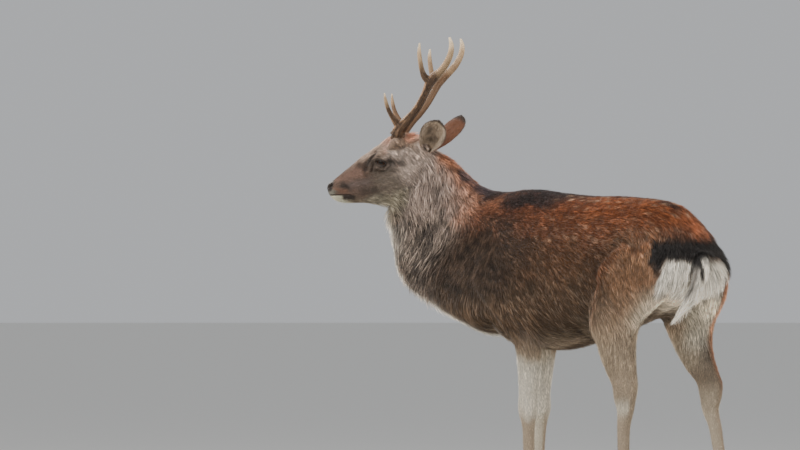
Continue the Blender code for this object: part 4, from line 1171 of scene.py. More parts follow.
def face_paint(p: Places) -> Array:
    """The head's colours: brow line paled as a painted highlight, red-brown muzzle, dark eye ring,
    white chin, black nose, and painted shade in the brow fold and behind the pedicle.

    Args:
        p: places and their shares.

    Returns:
        A colour for each point.
    """
    back, up, out = p.back, p.up, np.abs(p.out)
    soft = 0.006 * noise(p.points, 0.014, 7) + 0.003 * noise(p.points, 0.005, 8)
    b, u, us = back + soft, up + soft, up + 0.4 * soft
    facing = p.normals @ HEAD.up
    # share of the face turned up, which takes the painted highlights below
    top = ramp(facing, 0.35, 0.8)
    under = ramp(up - np.interp(back, *np.array(MOUTH_LINE).T), 0.0005, -0.002)
    corner = np.minimum(1, 1.3 * MOUTH_CORNER.shares(back, us)) * under * (out > 0.004)
    lips = bump(line_gap(back, up, MOUTH_LINE), 0, 0.0017)
    return layered(
        TINTS.face,
        ("cheek", ramp(b, 0.10, 0.17) * ramp(u, 0.03, -0.02)),
        ("bridge", ramp(b, 0.13, 0.06) * 0.8),
        ("temple", 0.80 * ramp(b + 0.3 * u, 0.168, 0.212)),
        ("temple", 0.80 * ramp(b, 0.152, 0.182) * ramp(u, 0.032, 0.045) * ramp(u, 0.085, 0.065)),
        # painted highlight along the upturned brow
        ("brow", top * ramp(b, 0.030, 0.125) * ramp(b, 0.185, 0.160)),
        ("crown", 0.85 * ramp(b, 0.176, 0.196) * ramp(u + 0.25 * b, 0.098, 0.112)
         * ramp(b, 0.268, 0.245)),
        # painted highlight: the upturned forehead warmed towards the poll's orange
        ("poll", 0.4 * top * ramp(b, 0.160, 0.180) * ramp(b, 0.205, 0.190)),
        ("poll", 0.95 * ramp(b, 0.226, 0.242) * ramp(u, 0.056, 0.068) * ramp(out, 0.060, 0.040)),
        ("throat", 0.9 * ramp(u, -0.038, -0.060) * ramp(b, 0.05, 0.11)),
        *((mark.tint, mark.shares(back + 0.4 * soft, us) * (out > 0.010)) for mark in FACE_MARKS),
        ("dark", 0.80 * ramp(eye_gap(back, up), 1.50, 1.15) * (out > 0.02)),
        ("throat", 0.8 * under * ramp(b, 0.085, 0.050) * ramp(facing, -0.2, -0.6)),
        ("chin", under * ramp(b, 0.047, 0.034)),
        ("drab", 0.6 * under * bump(b, 0.060, 0.012) * ramp(u, -0.036, -0.042)),
        ("dark", corner),
        ("lip", 0.9 * ramp(b + 0.35 * u, 0.022, 0.004) * (1 - under)),
        ("dark", lips * ramp(back, 0.064, 0.056)),
        ("nose", nose_pad(p)))


@dataclass(frozen=True)
class Mark:
    """A soft stroke of colour on the side of the face, along a line seen from the side."""

    tint: str
    share: float
    width: float
    line: tuple[tuple[float, float], ...]

    def shares(self, back: Array, up: Array) -> Array:
        """The stroke's share at each place: a bell across the line."""
        return self.share * bump(line_gap(back, up, self.line), 0, self.width)


FACE_MARKS = (
    Mark("rose", 0.70, 0.0150, ((0.0571, 0.0193), (0.0767, 0.0220), (0.0974, 0.0191))),
    Mark("slate", 0.75, 0.0110, ((0.0646, -0.0050), (0.0846, -0.0094), (0.1080, -0.0090))),
    Mark("muzzle", 0.80, 0.0070, ((0.0975, 0.0375), (0.1030, 0.0335), (0.1091, 0.0310))),
    Mark("dark", 0.95, 0.0085, ((0.0450, -0.0010), (0.0530, -0.0100))),
    Mark("rust", 0.80, 0.0060, ((0.0200, -0.0050), (0.0289, -0.0120), (0.0458, -0.0185))),
    Mark("rose", 0.85, 0.0060, ((0.0279, 0.0165), (0.0386, 0.0163))),
    Mark("dark", 0.45, 0.0110, ((0.0968, -0.0300), (0.1108, -0.0363), (0.1293, -0.0373))),
    Mark("muzzle", 0.60, 0.0090, ((0.1185, 0.0370), (0.1110, 0.0200), (0.1080, 0.0080))),
    # painted shade in the fold above the eye
    Mark("dark", 0.95, 0.0060, BROW_FOLD[:4]),
    Mark("dark", 0.70, 0.0055, BROW_FOLD[3:]),
    Mark("temple", 0.26, 0.0022, LOWER_LID),
    Mark("dark", 0.32, 0.0028, ((0.1470, 0.0093), (0.1611, 0.0060), (0.1745, 0.0110))),
    Mark("temple", 0.16, 0.0014, ((0.1600, -0.0060), (0.1700, -0.0040), (0.1790, -0.0060))),
    Mark("temple", 0.16, 0.0014, ((0.1620, -0.0130), (0.1730, -0.0125), (0.1800, -0.0150))),
    Mark("dark", 0.40, 0.0055, ((0.1390, 0.0400), (0.1465, 0.0385))),
    Mark("dark", 0.85, 0.0085, ((0.1800, 0.0268), (0.1920, 0.0200), (0.2110, 0.0130))),
    Mark("dark", 0.85, 0.0040, TEAR_LINE),
    # painted shadow behind the pedicle
    Mark("dark", 0.62, 0.0046, ((0.2313, 0.0604), (0.2180, 0.0540), (0.2095, 0.0480))),
)
MOUTH_CORNER = Mark("dark", 1.00, 0.0080, ((0.0410, -0.0315), (0.0500, -0.0345), (0.0590, -0.0385)))


def nose_pad(p: Places) -> Array:
    """Share of the nose pad: its upper front and round the nostrils."""
    rough = 0.002 * noise(p.points, 0.006, 9)
    pad = ramp(p.back - 0.45 * p.up + rough, 0.0200, 0.0130) * ramp(p.up + rough, -0.0105, -0.0050)
    round_nostril = ramp(nostril_gap(p.back, p.up, np.abs(p.out)), 1.6, 1.25)
    return np.maximum(pad, round_nostril * (p.back < 0.04))


def nose_share(p: Places) -> Array:
    """Share of the bare nose pad, which carries no hair."""
    return nose_pad(p) * p.head


# ---- coat: tufts ----
@dataclass
class Tufts:
    """Many hair tufts: each a closed three-sided spindle, pointed at root and tip."""

    roots: Array
    normals: Array
    lie: Array
    length: Array
    width: Array
    rise: Array  # how far the tip stands off the skin
    tint: Array
    tone: Array
    patches: Array

    def picked(self, which: Array) -> "Tufts":
        """Only some of the tufts."""
        return Tufts(*(getattr(self, name)[which] for name in self.__dataclass_fields__))

    def surface(self, rings: int) -> tuple[Surface, dict[str, Array], Array]:
        """The tufts as one mesh.

        The middle line at t is root + lie * length * t + normal * rise * t * (1.7 - 0.7 t), and a
        ring of left, right and top points stands on it at each of a few t.

        Args:
            rings: rings between root and tip, 1 or 2.

        Returns:
            The surface, its attributes and its OFBake coordinates.
        """
        at = np.array((0.34,)) if rings == 1 else np.array((0.26, 0.64))
        girth = np.array((1.0,)) if rings == 1 else np.array((1.0, 0.72))
        side = np.cross(self.lie, self.normals)

        def middle(t: float) -> Array:
            """The middle line's points at t."""
            return self.roots + self.lie * (self.length * t)[:, None] \
                + self.normals * (self.rise * t * (1.7 - 0.7 * t) - 0.30 * self.width)[:, None]

        columns = [middle(0.0)]
        for t, share in zip(at, girth):
            centre = middle(t)
            half = side * (self.width * 0.5 * share)[:, None]
            top = self.normals * (self.width * 0.42 * share)[:, None]
            columns += [centre - half, centre + half, centre + top]
        columns.append(middle(1.0))
        points = np.stack(columns, axis=1)
        count, corners = points.shape[:2]
        faces = [(0, 3, 1), (0, 2, 3), (0, 1, 2)]
        for k in range(rings - 1):
            left, right, top = 1 + 3 * k, 2 + 3 * k, 3 + 3 * k
            faces += [(left, top + 3, left + 3), (left, top, top + 3), (right, right + 3, top + 3),
                      (right, top + 3, top), (left, left + 3, right + 3), (left, right + 3, right)]
        left, right, top, tip = corners - 4, corners - 3, corners - 2, corners - 1
        faces += [(tip, left, top), (tip, top, right), (tip, right, left)]
        first = (np.arange(count) * corners)[:, None, None]
        triangles = (np.array(faces)[None] + first).reshape(-1, 3)
        along = np.concatenate([[0.0], np.repeat(at, 3), [1.0]])
        across = np.concatenate([[0.0], np.tile((-0.5, 0.5, 0.0), rings), [0.0]])
        local = np.stack([across, along - 0.5], axis=1) * 0.003
        numbers = {
            "tint": np.repeat(self.tint, corners, axis=0),
            "tone": np.repeat(self.tone, corners),
            "along": np.tile(along, count),
        }
        patches = (self.patches[:, None, :] + local[None]).reshape(-1, 2)
        return Surface(points.reshape(-1, 3), triangles), numbers, patches


def scattered(surface: Surface, density: Array, seed: int) -> tuple[Array, Array, Array]:
    """Even random roots on a surface: steps along the running sum of area times density.

    Args:
        surface: what the roots are on.
        density: roots for each square metre, at each point.
        seed: which random numbers.

    Returns:
        The roots, the numbers of their triangles, and their shares of the three corners.
    """
    rng = np.random.default_rng(seed)
    a, b, c = (surface.points[surface.triangles[:, k]] for k in range(3))
    area = np.linalg.norm(np.cross(b - a, c - a), axis=1) / 2
    total = np.cumsum(area * density[surface.triangles].mean(axis=1))
    count = int(total[-1])
    at = np.searchsorted(total, (np.arange(count) + rng.random(count)) * total[-1] / count)
    at = np.minimum(at, len(total) - 1)
    u, v = rng.random(count), rng.random(count)
    flip = u + v > 1
    u, v = np.where(flip, 1 - u, u), np.where(flip, 1 - v, v)
    shares = np.stack([1 - u - v, u, v], axis=1)
    corners = surface.points[surface.triangles[at]]
    return np.einsum("nk,nkj->nj", shares, corners), at, shares


@dataclass
class Unwrap:
    """A rectangle of the coat's map, for the skin round one axis of the body."""

    origin: tuple[float, float, float]
    axis: tuple[float, float, float]
    reach: float
    corner: tuple[float, float]
    size: tuple[float, float]

    def place(self, points: Array, normals: Array) -> Array:
        """Across is the angle round the axis; up is the way along it, eased on by the normal."""
        axis = unit(np.array(self.axis))
        side = unit(np.cross(axis, (0.13, 1.0, 0.21)))
        third = np.cross(axis, side)
        arm = points - np.array(self.origin)
        angle = np.arctan2(arm @ side, arm @ third) / (2 * math.pi) + 0.5
        run = (arm @ axis) / self.reach * 0.84 + 0.08 + 0.08 * (normals @ axis)
        inside = np.stack([angle, np.clip(run, 0.004, 0.996)], axis=1) * 0.98 + 0.01
        return np.array(self.corner) + inside * np.array(self.size)


@dataclass
class Coat:
    """The stag's coat: tufts over the whole skin, in a few pieces."""

    skin: Surface
    seed: int = 5
    most: float = 300000  # tufts for each square metre
    most_more: float = 350000  # on top of that on the muzzle and round the eyes
    banded: float = 0.16  # share of hairs with a pale band
    flank_x: tuple[float, float] = (0.16, 0.36)  # where the flank begins and ends
    regions: dict[str, Array] = field(init=False)  # for each piece, which tufts belong to it

    def density(self, fields: CoatFields) -> Array:
        """Tufts for each square metre: enough to cover the skin about twice."""
        p = fields.places
        length = fields.length()
        cover = 1.60 + 1.15 * p.neck + 1.8 * p.tail + 1.4 * p.rear \
            + 1.8 * fields.under_jaw() * p.head
        near_eye = ramp(eye_gap(p.back, p.up), 4.5, 2.5) * (np.abs(p.out) > 0.02)
        limit = self.most + self.most_more * np.maximum(ramp(p.back, 0.12, 0.06), near_eye) * p.head
        density = np.minimum(cover / (0.5 * self.width(length) * length), limit)
        z = p.points[:, 2]
        low = ramp(z, 0.34, 0.24) * p.legs
        density = density * (1 - 0.62 * low * ramp(z, 0.065, 0.085)) * (1 - 0.45 * p.legs)
        density = density * (1 - nose_share(p)) * (1 - p.legs * ramp(z, 0.046, 0.041))
        aside = (np.abs(p.out) > 0.02) * p.head
        bare = ramp(eye_gap(p.back, p.up), 1.32, 1.18) * aside
        bare = np.maximum(bare, aside * ramp(line_gap(p.back, p.up, TEAR_LINE), 0.0030, 0.0018))
        bare = np.maximum(bare, p.head * ramp(line_gap(p.back, p.up, MOUTH_LINE), 0.0018, 0.0008))
        return density * (1 - bare)

    @staticmethod
    def width(length: Array) -> Array:
        """A tuft's width for its length."""
        return 0.00045 + 0.028 * np.minimum(length, 0.03) + 0.010 * np.maximum(length - 0.03, 0)

    def grow(self) -> Tufts:
        """Sets a tuft on each root, with the lie, length and colour of its place."""
        rng = np.random.default_rng(self.seed)
        normals = self.skin.normals()
        whole = CoatFields(Places(self.skin.points, normals))
        roots, at, shares = scattered(self.skin, self.density(whole), self.seed)
        n = unit(np.einsum("nk,nkj->nj", shares, normals[self.skin.triangles[at]]))
        fields = CoatFields(Places(roots, n))
        p = fields.places
        count = len(roots)
        grain = hair_space(p)
        lock, strand = noise(grain, 0.0044, 31), noise(grain, 0.0021, 32)
        broad = noise(p.points, 0.040, 33)
        length = fields.length() * rng.uniform(0.70, 1.25, count) * (1 + 0.18 * lock)
        stray = rng.normal(0, 1, (count, 3)) * (0.09 + 0.08 * p.neck - 0.02 * p.rear)[:, None]
        clump = noise_vector(p.points, 0.014, 23) * (0.13 + 0.22 * p.neck)[:, None]
        lie = fields.lie() + stray + clump * (1 - 0.6 * p.head[:, None])
        lie = unit(lie - n * dots(lie, n)[:, None])
        lift = rng.uniform(0.45, 1.10, count) * (1 + 0.45 * lock)
        rise = fields.stand() * np.minimum(lift, 1.12 - 0.10 * p.neck)
        white = np.maximum(fields.rump_patch()[0], p.tail)
        wild = (1 - p.head * (0.30 - 0.40 * behind_eye(p)) - 0.45 * p.legs) * (1 - 0.40 * white)
        flecked = p.head * ramp(p.back, 0.165, 0.200)
        mottle = (0.60 + 0.50 * p.neck) * lock + (0.45 + 0.45 * flecked) * strand + 0.30 * broad
        tone = rng.normal(0, 0.28, count) + wild * mottle
        tint = fields.tint()
        brightness = tint.mean(axis=1)
        x, _, z = roots.T
        dusky = ramp(brightness, 0.15, 0.06) * (p.trunk * ramp(x, 0.16, -0.04) + p.neck)
        tone = tone + dusky * (0.35 * lock + 0.45 * strand)
        tone = np.clip(np.exp(tone) * (1 - 0.08 * wild), 0.20, 3.2)
        width = self.width(length) * rng.uniform(0.75, 1.25, count) * (1 - 0.30 * white)
        part = 0.55 * p.trunk * ramp(z, 0.80, 0.72) + p.neck * ramp(z, 0.86, 0.76)
        pale = 0.50 * (rng.random(count) < self.banded * (1 + ramp(lock, -0.2, 0.4))) * part
        pale = pale * ramp(brightness, 0.036 - 0.012 * p.neck, 0.095 - 0.020 * p.neck)
        tint = layered(tint, ("banded", pale))
        made = Tufts(roots, n, lie, length, width, rise, tint, tone, np.zeros((count, 2)))
        tip_back, tip_up, _ = HEAD.measure(roots + lie * length[:, None])
        keep = ~((eye_gap(tip_back, tip_up) < 1.2) & (np.abs(p.out) > 0.02) & (p.head > 0.5))
        self.regions = {name: which & keep for name, which in self.sorted_out(p).items()}
        return made

    def sorted_out(self, p: Places) -> dict[str, Array]:
        """Which tufts belong to which piece of the coat."""
        x, y, z = p.points.T
        head = p.head > 0.5
        neck = (p.neck > 0.5) & ~head
        tail = (p.tail > 0.5) & ~head
        rump = (p.rear > 0.4) & ~tail & ~head & ~neck & (z > 0.44)
        rest = ~(head | neck | tail | rump)
        legs, trunk = rest & (p.legs > 0.5), rest & (p.legs <= 0.5)
        left, hind = y < 0, x >= MIDDLE_X
        start, end = self.flank_x
        regions = {}
        for name, which, near in (
                ("head", head, p.out > 0), ("mane", neck, left),
                ("shoulder", trunk & (x < start), left),
                ("flank", trunk & (x >= start) & (x < end), left),
                ("haunch", trunk & (x >= end), left),
                ("rump", rump, None), ("tail", tail, None), ("forelegs", legs & ~hind, None),
                ("hindleg", legs & hind, left)):
            if near is None:
                regions[f"coat_{name}"] = which
            else:
                regions[f"coat_{name}_left"] = which & near
                regions[f"coat_{name}_right"] = which & ~near
        return regions


UNWRAPS = {
    "coat_head": Unwrap(HEAD.nose, tuple(HEAD.back), 0.29, (0.66, 0.62), (0.34, 0.38)),
    "coat_mane": Unwrap((-0.40, -0.02, 0.90), (0.55, 0.05, -0.84), 0.50, (0.0, 0.62), (0.66, 0.38)),
    "coat_forelegs": Unwrap((0.0, 0.0, 0.0), (0, 0, 1), 0.50, (0.66, 0.0), (0.17, 0.62)),
    "coat_hindleg": Unwrap((0.45, 0.0, 0.0), (0, 0, 1), 0.56, (0.83, 0.0), (0.17, 0.62)),
    "coat_tail": Unwrap((0.570, 0.0, 0.70), (0.08, -0.38, -0.92), 0.21, (0.0, 0.0), (0.12, 0.10)),
    "coat": Unwrap((-0.215, 0.0, 0.66), (1, 0, 0), 0.80, (0.0, 0.10), (0.66, 0.52)),
}


def unwrapped(name: str, points: Array, normals: Array) -> Array:
    """The map places of a coat piece's roots; each leg has its own half of the legs' strip.

    Args:
        name: the piece's name.
        points: its roots.
        normals: the skin's normals there.

    Returns:
        Two coordinates for each root.
    """
    key = next(k for k in UNWRAPS if name.startswith(k))
    if key not in ("coat_forelegs", "coat_hindleg"):
        return UNWRAPS[key].place(points, normals)
    table = LEGS.fore if key == "coat_forelegs" else LEGS.hind
    placed = np.zeros((len(points), 2))
    for number, side in enumerate(Side):
        here = points[:, 1] * side.value > 0
        knee, foot, out = (table[side][1], table[side][-2], table[side][-1])
        x = np.interp(points[here, 2], (0.1, 0.33, 0.5), (foot, knee, (knee + table[side][0]) / 2))
        centred = points[here] - np.stack([x, np.full(len(x), out * side.value), 0 * x], axis=1)
        strip = Unwrap((0.0, 0.0, 0.0), (0, 0, 1), UNWRAPS[key].reach,
                       (UNWRAPS[key].corner[0] + 0.085 * number, 0.0), (0.085, 0.62))
        placed[here] = strip.place(centred, normals[here])
    return placed


# ---- eyes and lids ----
@dataclass
class Eye:
    """One eye: a globe with a long dark pupil, and the rim of lids round it."""

    side: Side
    at: tuple[float, float, float] = (0.1600, 0.0282, 0.0450)
    radius: float = 0.0154

    def frame(self) -> tuple[Array, Array]:
        """The globe's middle, and its axes as rows: along the lids, up, and the way it looks."""
        left = -self.side.value
        centre = HEAD.point(self.at[0], self.at[1], left * self.at[2])
        gaze = unit(HEAD.left * left - HEAD.back * 0.10)
        along = HEAD.back * EYE_COS + HEAD.up * EYE_SIN
        along = unit(along - gaze * (along @ gaze))
        up = np.cross(gaze, along)
        up = up * np.sign(up @ HEAD.up)
        return centre, np.stack([along, up, gaze])

    def globe(self, finish: Material) -> None:
        """The globe, with each point's place on its face as attributes for iris and pupil."""
        centre, axes = self.frame()
        made = ball(centre, (self.radius,) * 3, axes, around=72, rows=48)
        local = (made.points - centre) @ axes.T / self.radius
        cornea = 0.0012 * ramp(np.hypot(local[:, 0], local[:, 1]), 0.62, 0.2) * (local[:, 2] > 0)
        made.points += axes[2] * cornea[:, None]
        numbers = {"iris": np.hypot(local[:, 0], local[:, 1]) + 2.0 * (local[:, 2] < 0),
                   "pupil": np.hypot(local[:, 0] / 0.44, local[:, 1] / 0.24)}
        side = self.side.label
        piece(f"{side}_eye", made, finish, [f"eye_{side}"], numbers)

    def lids(self, skin: Surface) -> tuple[Surface, Array]:
        """The rim of the lids: a rolled edge on the globe that runs out to just under the skin.

        Round the eye by angle a, the rim's line is the almond (L cos a, H sin a), fuller below;
        across it the surface climbs from the globe over the roll to the skin's own height there.

        Args:
            skin: the stag's skin, which the outer edge meets.

        Returns:
            The surface, and for each point how far across it lies.
        """
        centre, axes = self.frame()
        a = circle(96)
        s = np.linspace(0, 1, 16)[:, None]
        upper = ramp(np.sin(a), -0.1, 0.5)
        arch = np.sign(np.sin(a)) * np.abs(np.sin(a)) ** 0.94
        high = EYE_HIGH * (0.88 + 0.24 * (1 - upper)) * arch
        grow = 0.93 + 0.95 * s
        x, y = EYE_LONG * np.cos(a) * (0.25 + 0.75 * grow), high * grow + 0 * s
        y = y + 0.0012 * s * np.sin(a)
        flat = np.minimum(np.hypot(x, y), self.radius * 0.97)
        on_globe = np.sqrt(self.radius**2 - flat**2)
        edge = self.skin_height(skin, centre, axes, x[-1], y[-1])
        roll = 0.0016 * np.sin(np.clip(s / 0.20, 0, 1) * math.pi / 2) * (1 + 1.1 * upper) - 0.0005
        out = ramp(s, 0.18, 0.70)
        height = (on_globe + roll) * (1 - out) + (edge - 0.0009) * out
        height = np.maximum(height, on_globe + 0.0009 * ramp(s, 0.02, 0.15) - 0.0005)
        local = np.stack([x, y, height], axis=-1)
        rings = np.concatenate([local, local[::-1] - np.array((0, 0, 0.0020))])
        rows, around = rings.shape[:2]
        index = np.arange(rows * around).reshape(rows, around)
        nxt, right = np.roll(index, -1, axis=0), np.roll(index, -1, axis=1)
        both = np.roll(nxt, -1, axis=1)
        triangles = np.concatenate([np.stack([index, right, both], -1).reshape(-1, 3),
                                    np.stack([index, both, nxt], -1).reshape(-1, 3)])
        across = np.concatenate([np.broadcast_to(s, x.shape), np.broadcast_to(s[::-1], x.shape)])
        return outward(Surface(centre + rings.reshape(-1, 3) @ axes, triangles)), across.ravel()

    def skin_height(self, skin: Surface, centre: Array, axes: Array, x: Array, y: Array) -> Array:
        """Height of the skin over the globe's middle at each (x, y): a mean of the near points."""
        local = (skin.points - centre) @ axes.T
        near = local[(np.hypot(local[:, 0], local[:, 1]) < 0.035) & (local[:, 2] > -0.004)]
        gap = (near[None, :, 0] - x[:, None]) ** 2 + (near[None, :, 1] - y[:, None]) ** 2
        weight = np.exp(-gap / 0.0012**2) + 1e-12
        return (weight * near[None, :, 2]).sum(1) / weight.sum(1)

    def lashes(self) -> Tufts:
        """Lashes along the upper rim, longest at its middle."""
        centre, axes = self.frame()
        rng = np.random.default_rng(90)
        count = 40
        a = np.linspace(0.10, math.pi - 0.20, count)
        x, y = EYE_LONG * np.cos(a) * 1.02, EYE_HIGH * np.sin(a) * 0.96
        height = np.sqrt(self.radius**2 - x**2 - y**2) + 0.0010
        roots = centre + np.stack([x, y, height], axis=1) @ axes
        way = np.stack([0.55 * np.cos(a) + 0.25, 0.75 + 0 * a, 0.9 + 0 * a], axis=1) \
            + rng.normal(0, 0.08, (count, 3))
        lie = unit(way @ axes)
        n = unit(np.cross(lie, axes[0]))
        n = n * np.sign(n @ axes[1])[:, None]
        length = (0.0045 + 0.0035 * np.sin(a)) * rng.uniform(0.8, 1.15, count)
        tint = np.tile((0.020, 0.015, 0.012), (count, 1))
        return Tufts(roots, n, lie, length, np.full(count, 0.00035), -0.3 * length, tint,
                     np.ones(count), np.zeros((count, 2)))


# ---- ears ----
EAR_V = np.linspace(0, 1, 61)
EAR_WIDE = np.interp(EAR_V, *flowing((  # share of the full width at each EAR_V
    (0.0, 0.42), (0.12, 0.55), (0.28, 0.76), (0.45, 0.91), (0.62, 0.98), (0.76, 0.94),
    (0.87, 0.78), (0.94, 0.57), (0.98, 0.34), (1.0, 0.05)), 8).T)


@dataclass
class Ear:
    """One ear: a cupped leaf with a thickness, haired outside and fringed inside."""

    side: Side
    at: tuple[float, float, float] = (0.283, 0.036, 0.038)
    long: float = 0.136
    wide: float = 0.068
    thick: float = 0.0030

    def frame(self) -> tuple[Array, Array, Array, Array]:
        """The ear's base, and its unit ways along, across and towards its open face."""
        left = -self.side.value
        points, faces = {
            Side.LEFT: ((0.46, 0.41, 0.82), (-0.35, -0.55, 0.75)),
            Side.RIGHT: ((0.64, 0.44, 0.56), (0.00, -0.85, 0.60)),
        }[self.side]
        along, face = (HEAD.back * b + HEAD.up * u + HEAD.left * left * o
                       for b, u, o in (points, faces))
        along = unit(along)
        face = unit(face - along * (face @ along))
        base = HEAD.point(self.at[0], self.at[1], left * self.at[2])
        return base, along, np.cross(along, face), face

    def sheet(self, v: Array, u: Array, lift: Array | float) -> Array:
        """Points of the leaf: an arc across it whose curl opens and width follows EAR_WIDE.

        Args:
            v: the way along, from 0 at the base to 1 at the tip.
            u: the way across, from -1 to 1.
            lift: how far off the leaf, towards its open face.

        Returns:
            The places.
        """
        base, along, across, face = self.frame()
        narrowed = 0.90 if self.side is Side.RIGHT else 1.0
        half = self.wide / 2 * np.interp(v, EAR_V, EAR_WIDE) * narrowed
        curl = np.radians(125 - 85 * v**0.6)
        radius = half / np.maximum(0.35, np.sin(np.minimum(curl, math.pi / 2)))
        angle = curl * u
        reach = radius - lift
        hollow = radius - reach * np.cos(angle) - 0.010 + 0.010 * v * v
        return base + along * (self.long * v)[..., None] \
            + across * (reach * np.sin(angle))[..., None] + face * hollow[..., None]

    def leaf(self) -> tuple[Surface, Array, Array, Array]:
        """The closed leaf.

        Returns:
            The surface, and for each point its way along, across, and 1 inside or 0 outside.
        """
        v = np.linspace(0.0, 1.0, 44)[:, None]
        u = np.linspace(-1, 1, 27)[None, :]
        v, u = np.broadcast_arrays(v, u)
        thin = self.thick / 2 * (1 - 0.55 * np.abs(u) ** 3) * (1 - 0.4 * v)
        veins = 0.0006 * np.sin(u * 9) * ramp(v, 0.15, 0.5)
        inner, outer = self.sheet(v, u, thin + veins), self.sheet(v, u, -thin)
        rings = np.concatenate([inner, outer[:, ::-1]], axis=1)
        made = tube(rings)

        def both(values: Array, flipped: Array) -> Array:
            """Values for the inside, the outside and the two end middles."""
            ends = (values[0].mean(), values[-1].mean())
            return np.append(np.concatenate([values, flipped[:, ::-1]], axis=1).ravel(), ends)

        inside = np.append(np.concatenate([np.ones_like(u), 0 * u], axis=1).ravel(), (0.5, 0.5))
        return made, both(v, v), both(u, u), inside

    def tint(self, points: Array, v: Array, u: Array, inside: Array) -> Array:
        """Grey-buff inside with painted shade in the hollow, warm brown outside, and a dark edge.
        """
        soft = 0.12 * noise(points, 0.012, 51)
        # painted shade in the ear's hollow
        hollow = np.maximum(0.80 * bump(v, 0.50, 0.20) * bump(u + soft, -0.38, 0.30),
                            0.85 * bump(v, 0.20, 0.10) * bump(u + soft, 0.0, 0.50))
        inner = layered(
            TINTS.ear_in,
            ("ear_hollow", hollow),
            # painted shade deeper in the hollow
            ("ear_shade", 0.70 * bump(v + soft, 0.34, 0.12) * bump(u, 0.30, 0.30)),
            ("ear_fringe", ramp(np.abs(u + soft), 0.55, 0.85) * 0.5))
        outer = layered(TINTS.ear_out, ("ear_warm", bump(v, 0.55, 0.30)))
        edge = np.maximum(0.75 * ramp(np.abs(u), 0.90, 0.98), ramp(v + 0.5 * soft, 0.84, 0.93))
        return layered(blend(outer, inner, inside), ("ear_edge", edge * 0.88 * ramp(v, 0.3, 0.6)))

    def tufts(self, leaf: Surface, v: Array, u: Array, inside: Array, seed: int) -> Tufts:
        """Short hair outside, long pale hair inside, and a fringe on the edge.

        Args:
            leaf: the ear's skin.
            v: the way up the ear of each of its points, 0 to 1.
            u: the way across, -1 to 1.
            inside: 1 on the hollow side and 0 outside.
            seed: which random numbers.

        Returns:
            The ear's tufts.
        """
        rng = np.random.default_rng(seed)
        _, along, across, _ = self.frame()
        density = np.where(inside > 0.5, 120000 + 120000 * ramp(np.abs(u), 0.5, 0.9), 240000)
        density = density * (1 + ramp(v, 0.82, 0.94)) * ramp(v, 0.02, 0.06)
        roots, at, shares = scattered(leaf, density, seed)
        corners = leaf.triangles[at]
        n = unit(np.einsum("nk,nkj->nj", shares, leaf.normals()[corners]))
        rv, ru, ri = (np.einsum("nk,nk->n", shares, values[corners]) for values in (v, u, inside))
        count = len(roots)
        inner = ri > 0.5
        edge = ramp(np.abs(ru), 0.86, 0.98)
        length = np.where(inner, 0.013 + 0.006 * ramp(np.abs(ru), 0.3, 0.9), 0.0075)
        length = length * (1 - 0.55 * ramp(rv, 0.6, 0.95)) * (1 - 0.25 * edge) \
            * rng.uniform(0.6, 1.25, count)
        way = along + across * (np.where(inner, -0.55, 0.10) * np.sign(ru))[:, None] \
            + rng.normal(0, 0.13, (count, 3))
        way = way + across * (edge * np.sign(ru) * np.where(inner, 0.50, 0.20))[:, None]
        way = unit(way - n * dots(way, n)[:, None])
        rise = np.where(inner, 0.0030, 0.0016) * rng.uniform(0.5, 1.3, count)
        tint = self.tint(roots, rv, ru, ri)
        tone = np.clip(1 + rng.normal(0, 0.2, count), 0.4, 1.8)
        patches = np.stack([0.14 + 0.10 * (self.side is Side.LEFT) + 0.045 * (ru + 1),
                            0.005 + 0.040 * rv + 0.045 * inner], axis=1)
        width = (0.0005 + 0.028 * length) * (1 - 0.3 * ramp(rv, 0.8, 0.95))
        return Tufts(roots, n, way, length, width, rise, tint, tone, patches)


# ---- antlers ----
MAIN_BEAM = (  # back, up, out, radius: from the burr through the fork to the rear point
    (0.2160, 0.0868, 0.0385, 0.0172),
    (0.2202, 0.0922, 0.0400, 0.0180),
    (0.2249, 0.0982, 0.0415, 0.0160),
    (0.2347, 0.1056, 0.0440, 0.0146),
    (0.2524, 0.1164, 0.0500, 0.0118),
    (0.2771, 0.1316, 0.0600, 0.0100),
    (0.3014, 0.1514, 0.0710, 0.0095),
    (0.3215, 0.1726, 0.0800, 0.0098),
    (0.3366, 0.1907, 0.0860, 0.0118),
    (0.3541, 0.2041, 0.0895, 0.0125),
    (0.3715, 0.2125, 0.0930, 0.0100),
    (0.3940, 0.2282, 0.1040, 0.0090),
    (0.4128, 0.2496, 0.1140, 0.0078),
    (0.4217, 0.2712, 0.1200, 0.0062),
    (0.4228, 0.2921, 0.1225, 0.0026),
)
FRONT_TINE = (
    (0.3388, 0.1962, 0.0870, 0.0105),
    (0.3308, 0.2111, 0.0915, 0.0088),
    (0.3287, 0.2280, 0.0945, 0.0068),
    (0.3301, 0.2497, 0.0970, 0.0060),
    (0.3339, 0.2752, 0.0990, 0.0052),
    (0.3415, 0.2995, 0.1000, 0.0020),
)
BROW_TINE = (
    (0.2301, 0.1050, 0.0430, 0.0120),
    (0.2240, 0.1175, 0.0470, 0.0094),
    (0.2183, 0.1343, 0.0530, 0.0068),
    (0.2143, 0.1550, 0.0620, 0.0056),
    (0.2140, 0.1768, 0.0700, 0.0046),
    (0.2171, 0.1995, 0.0780, 0.0017),
)


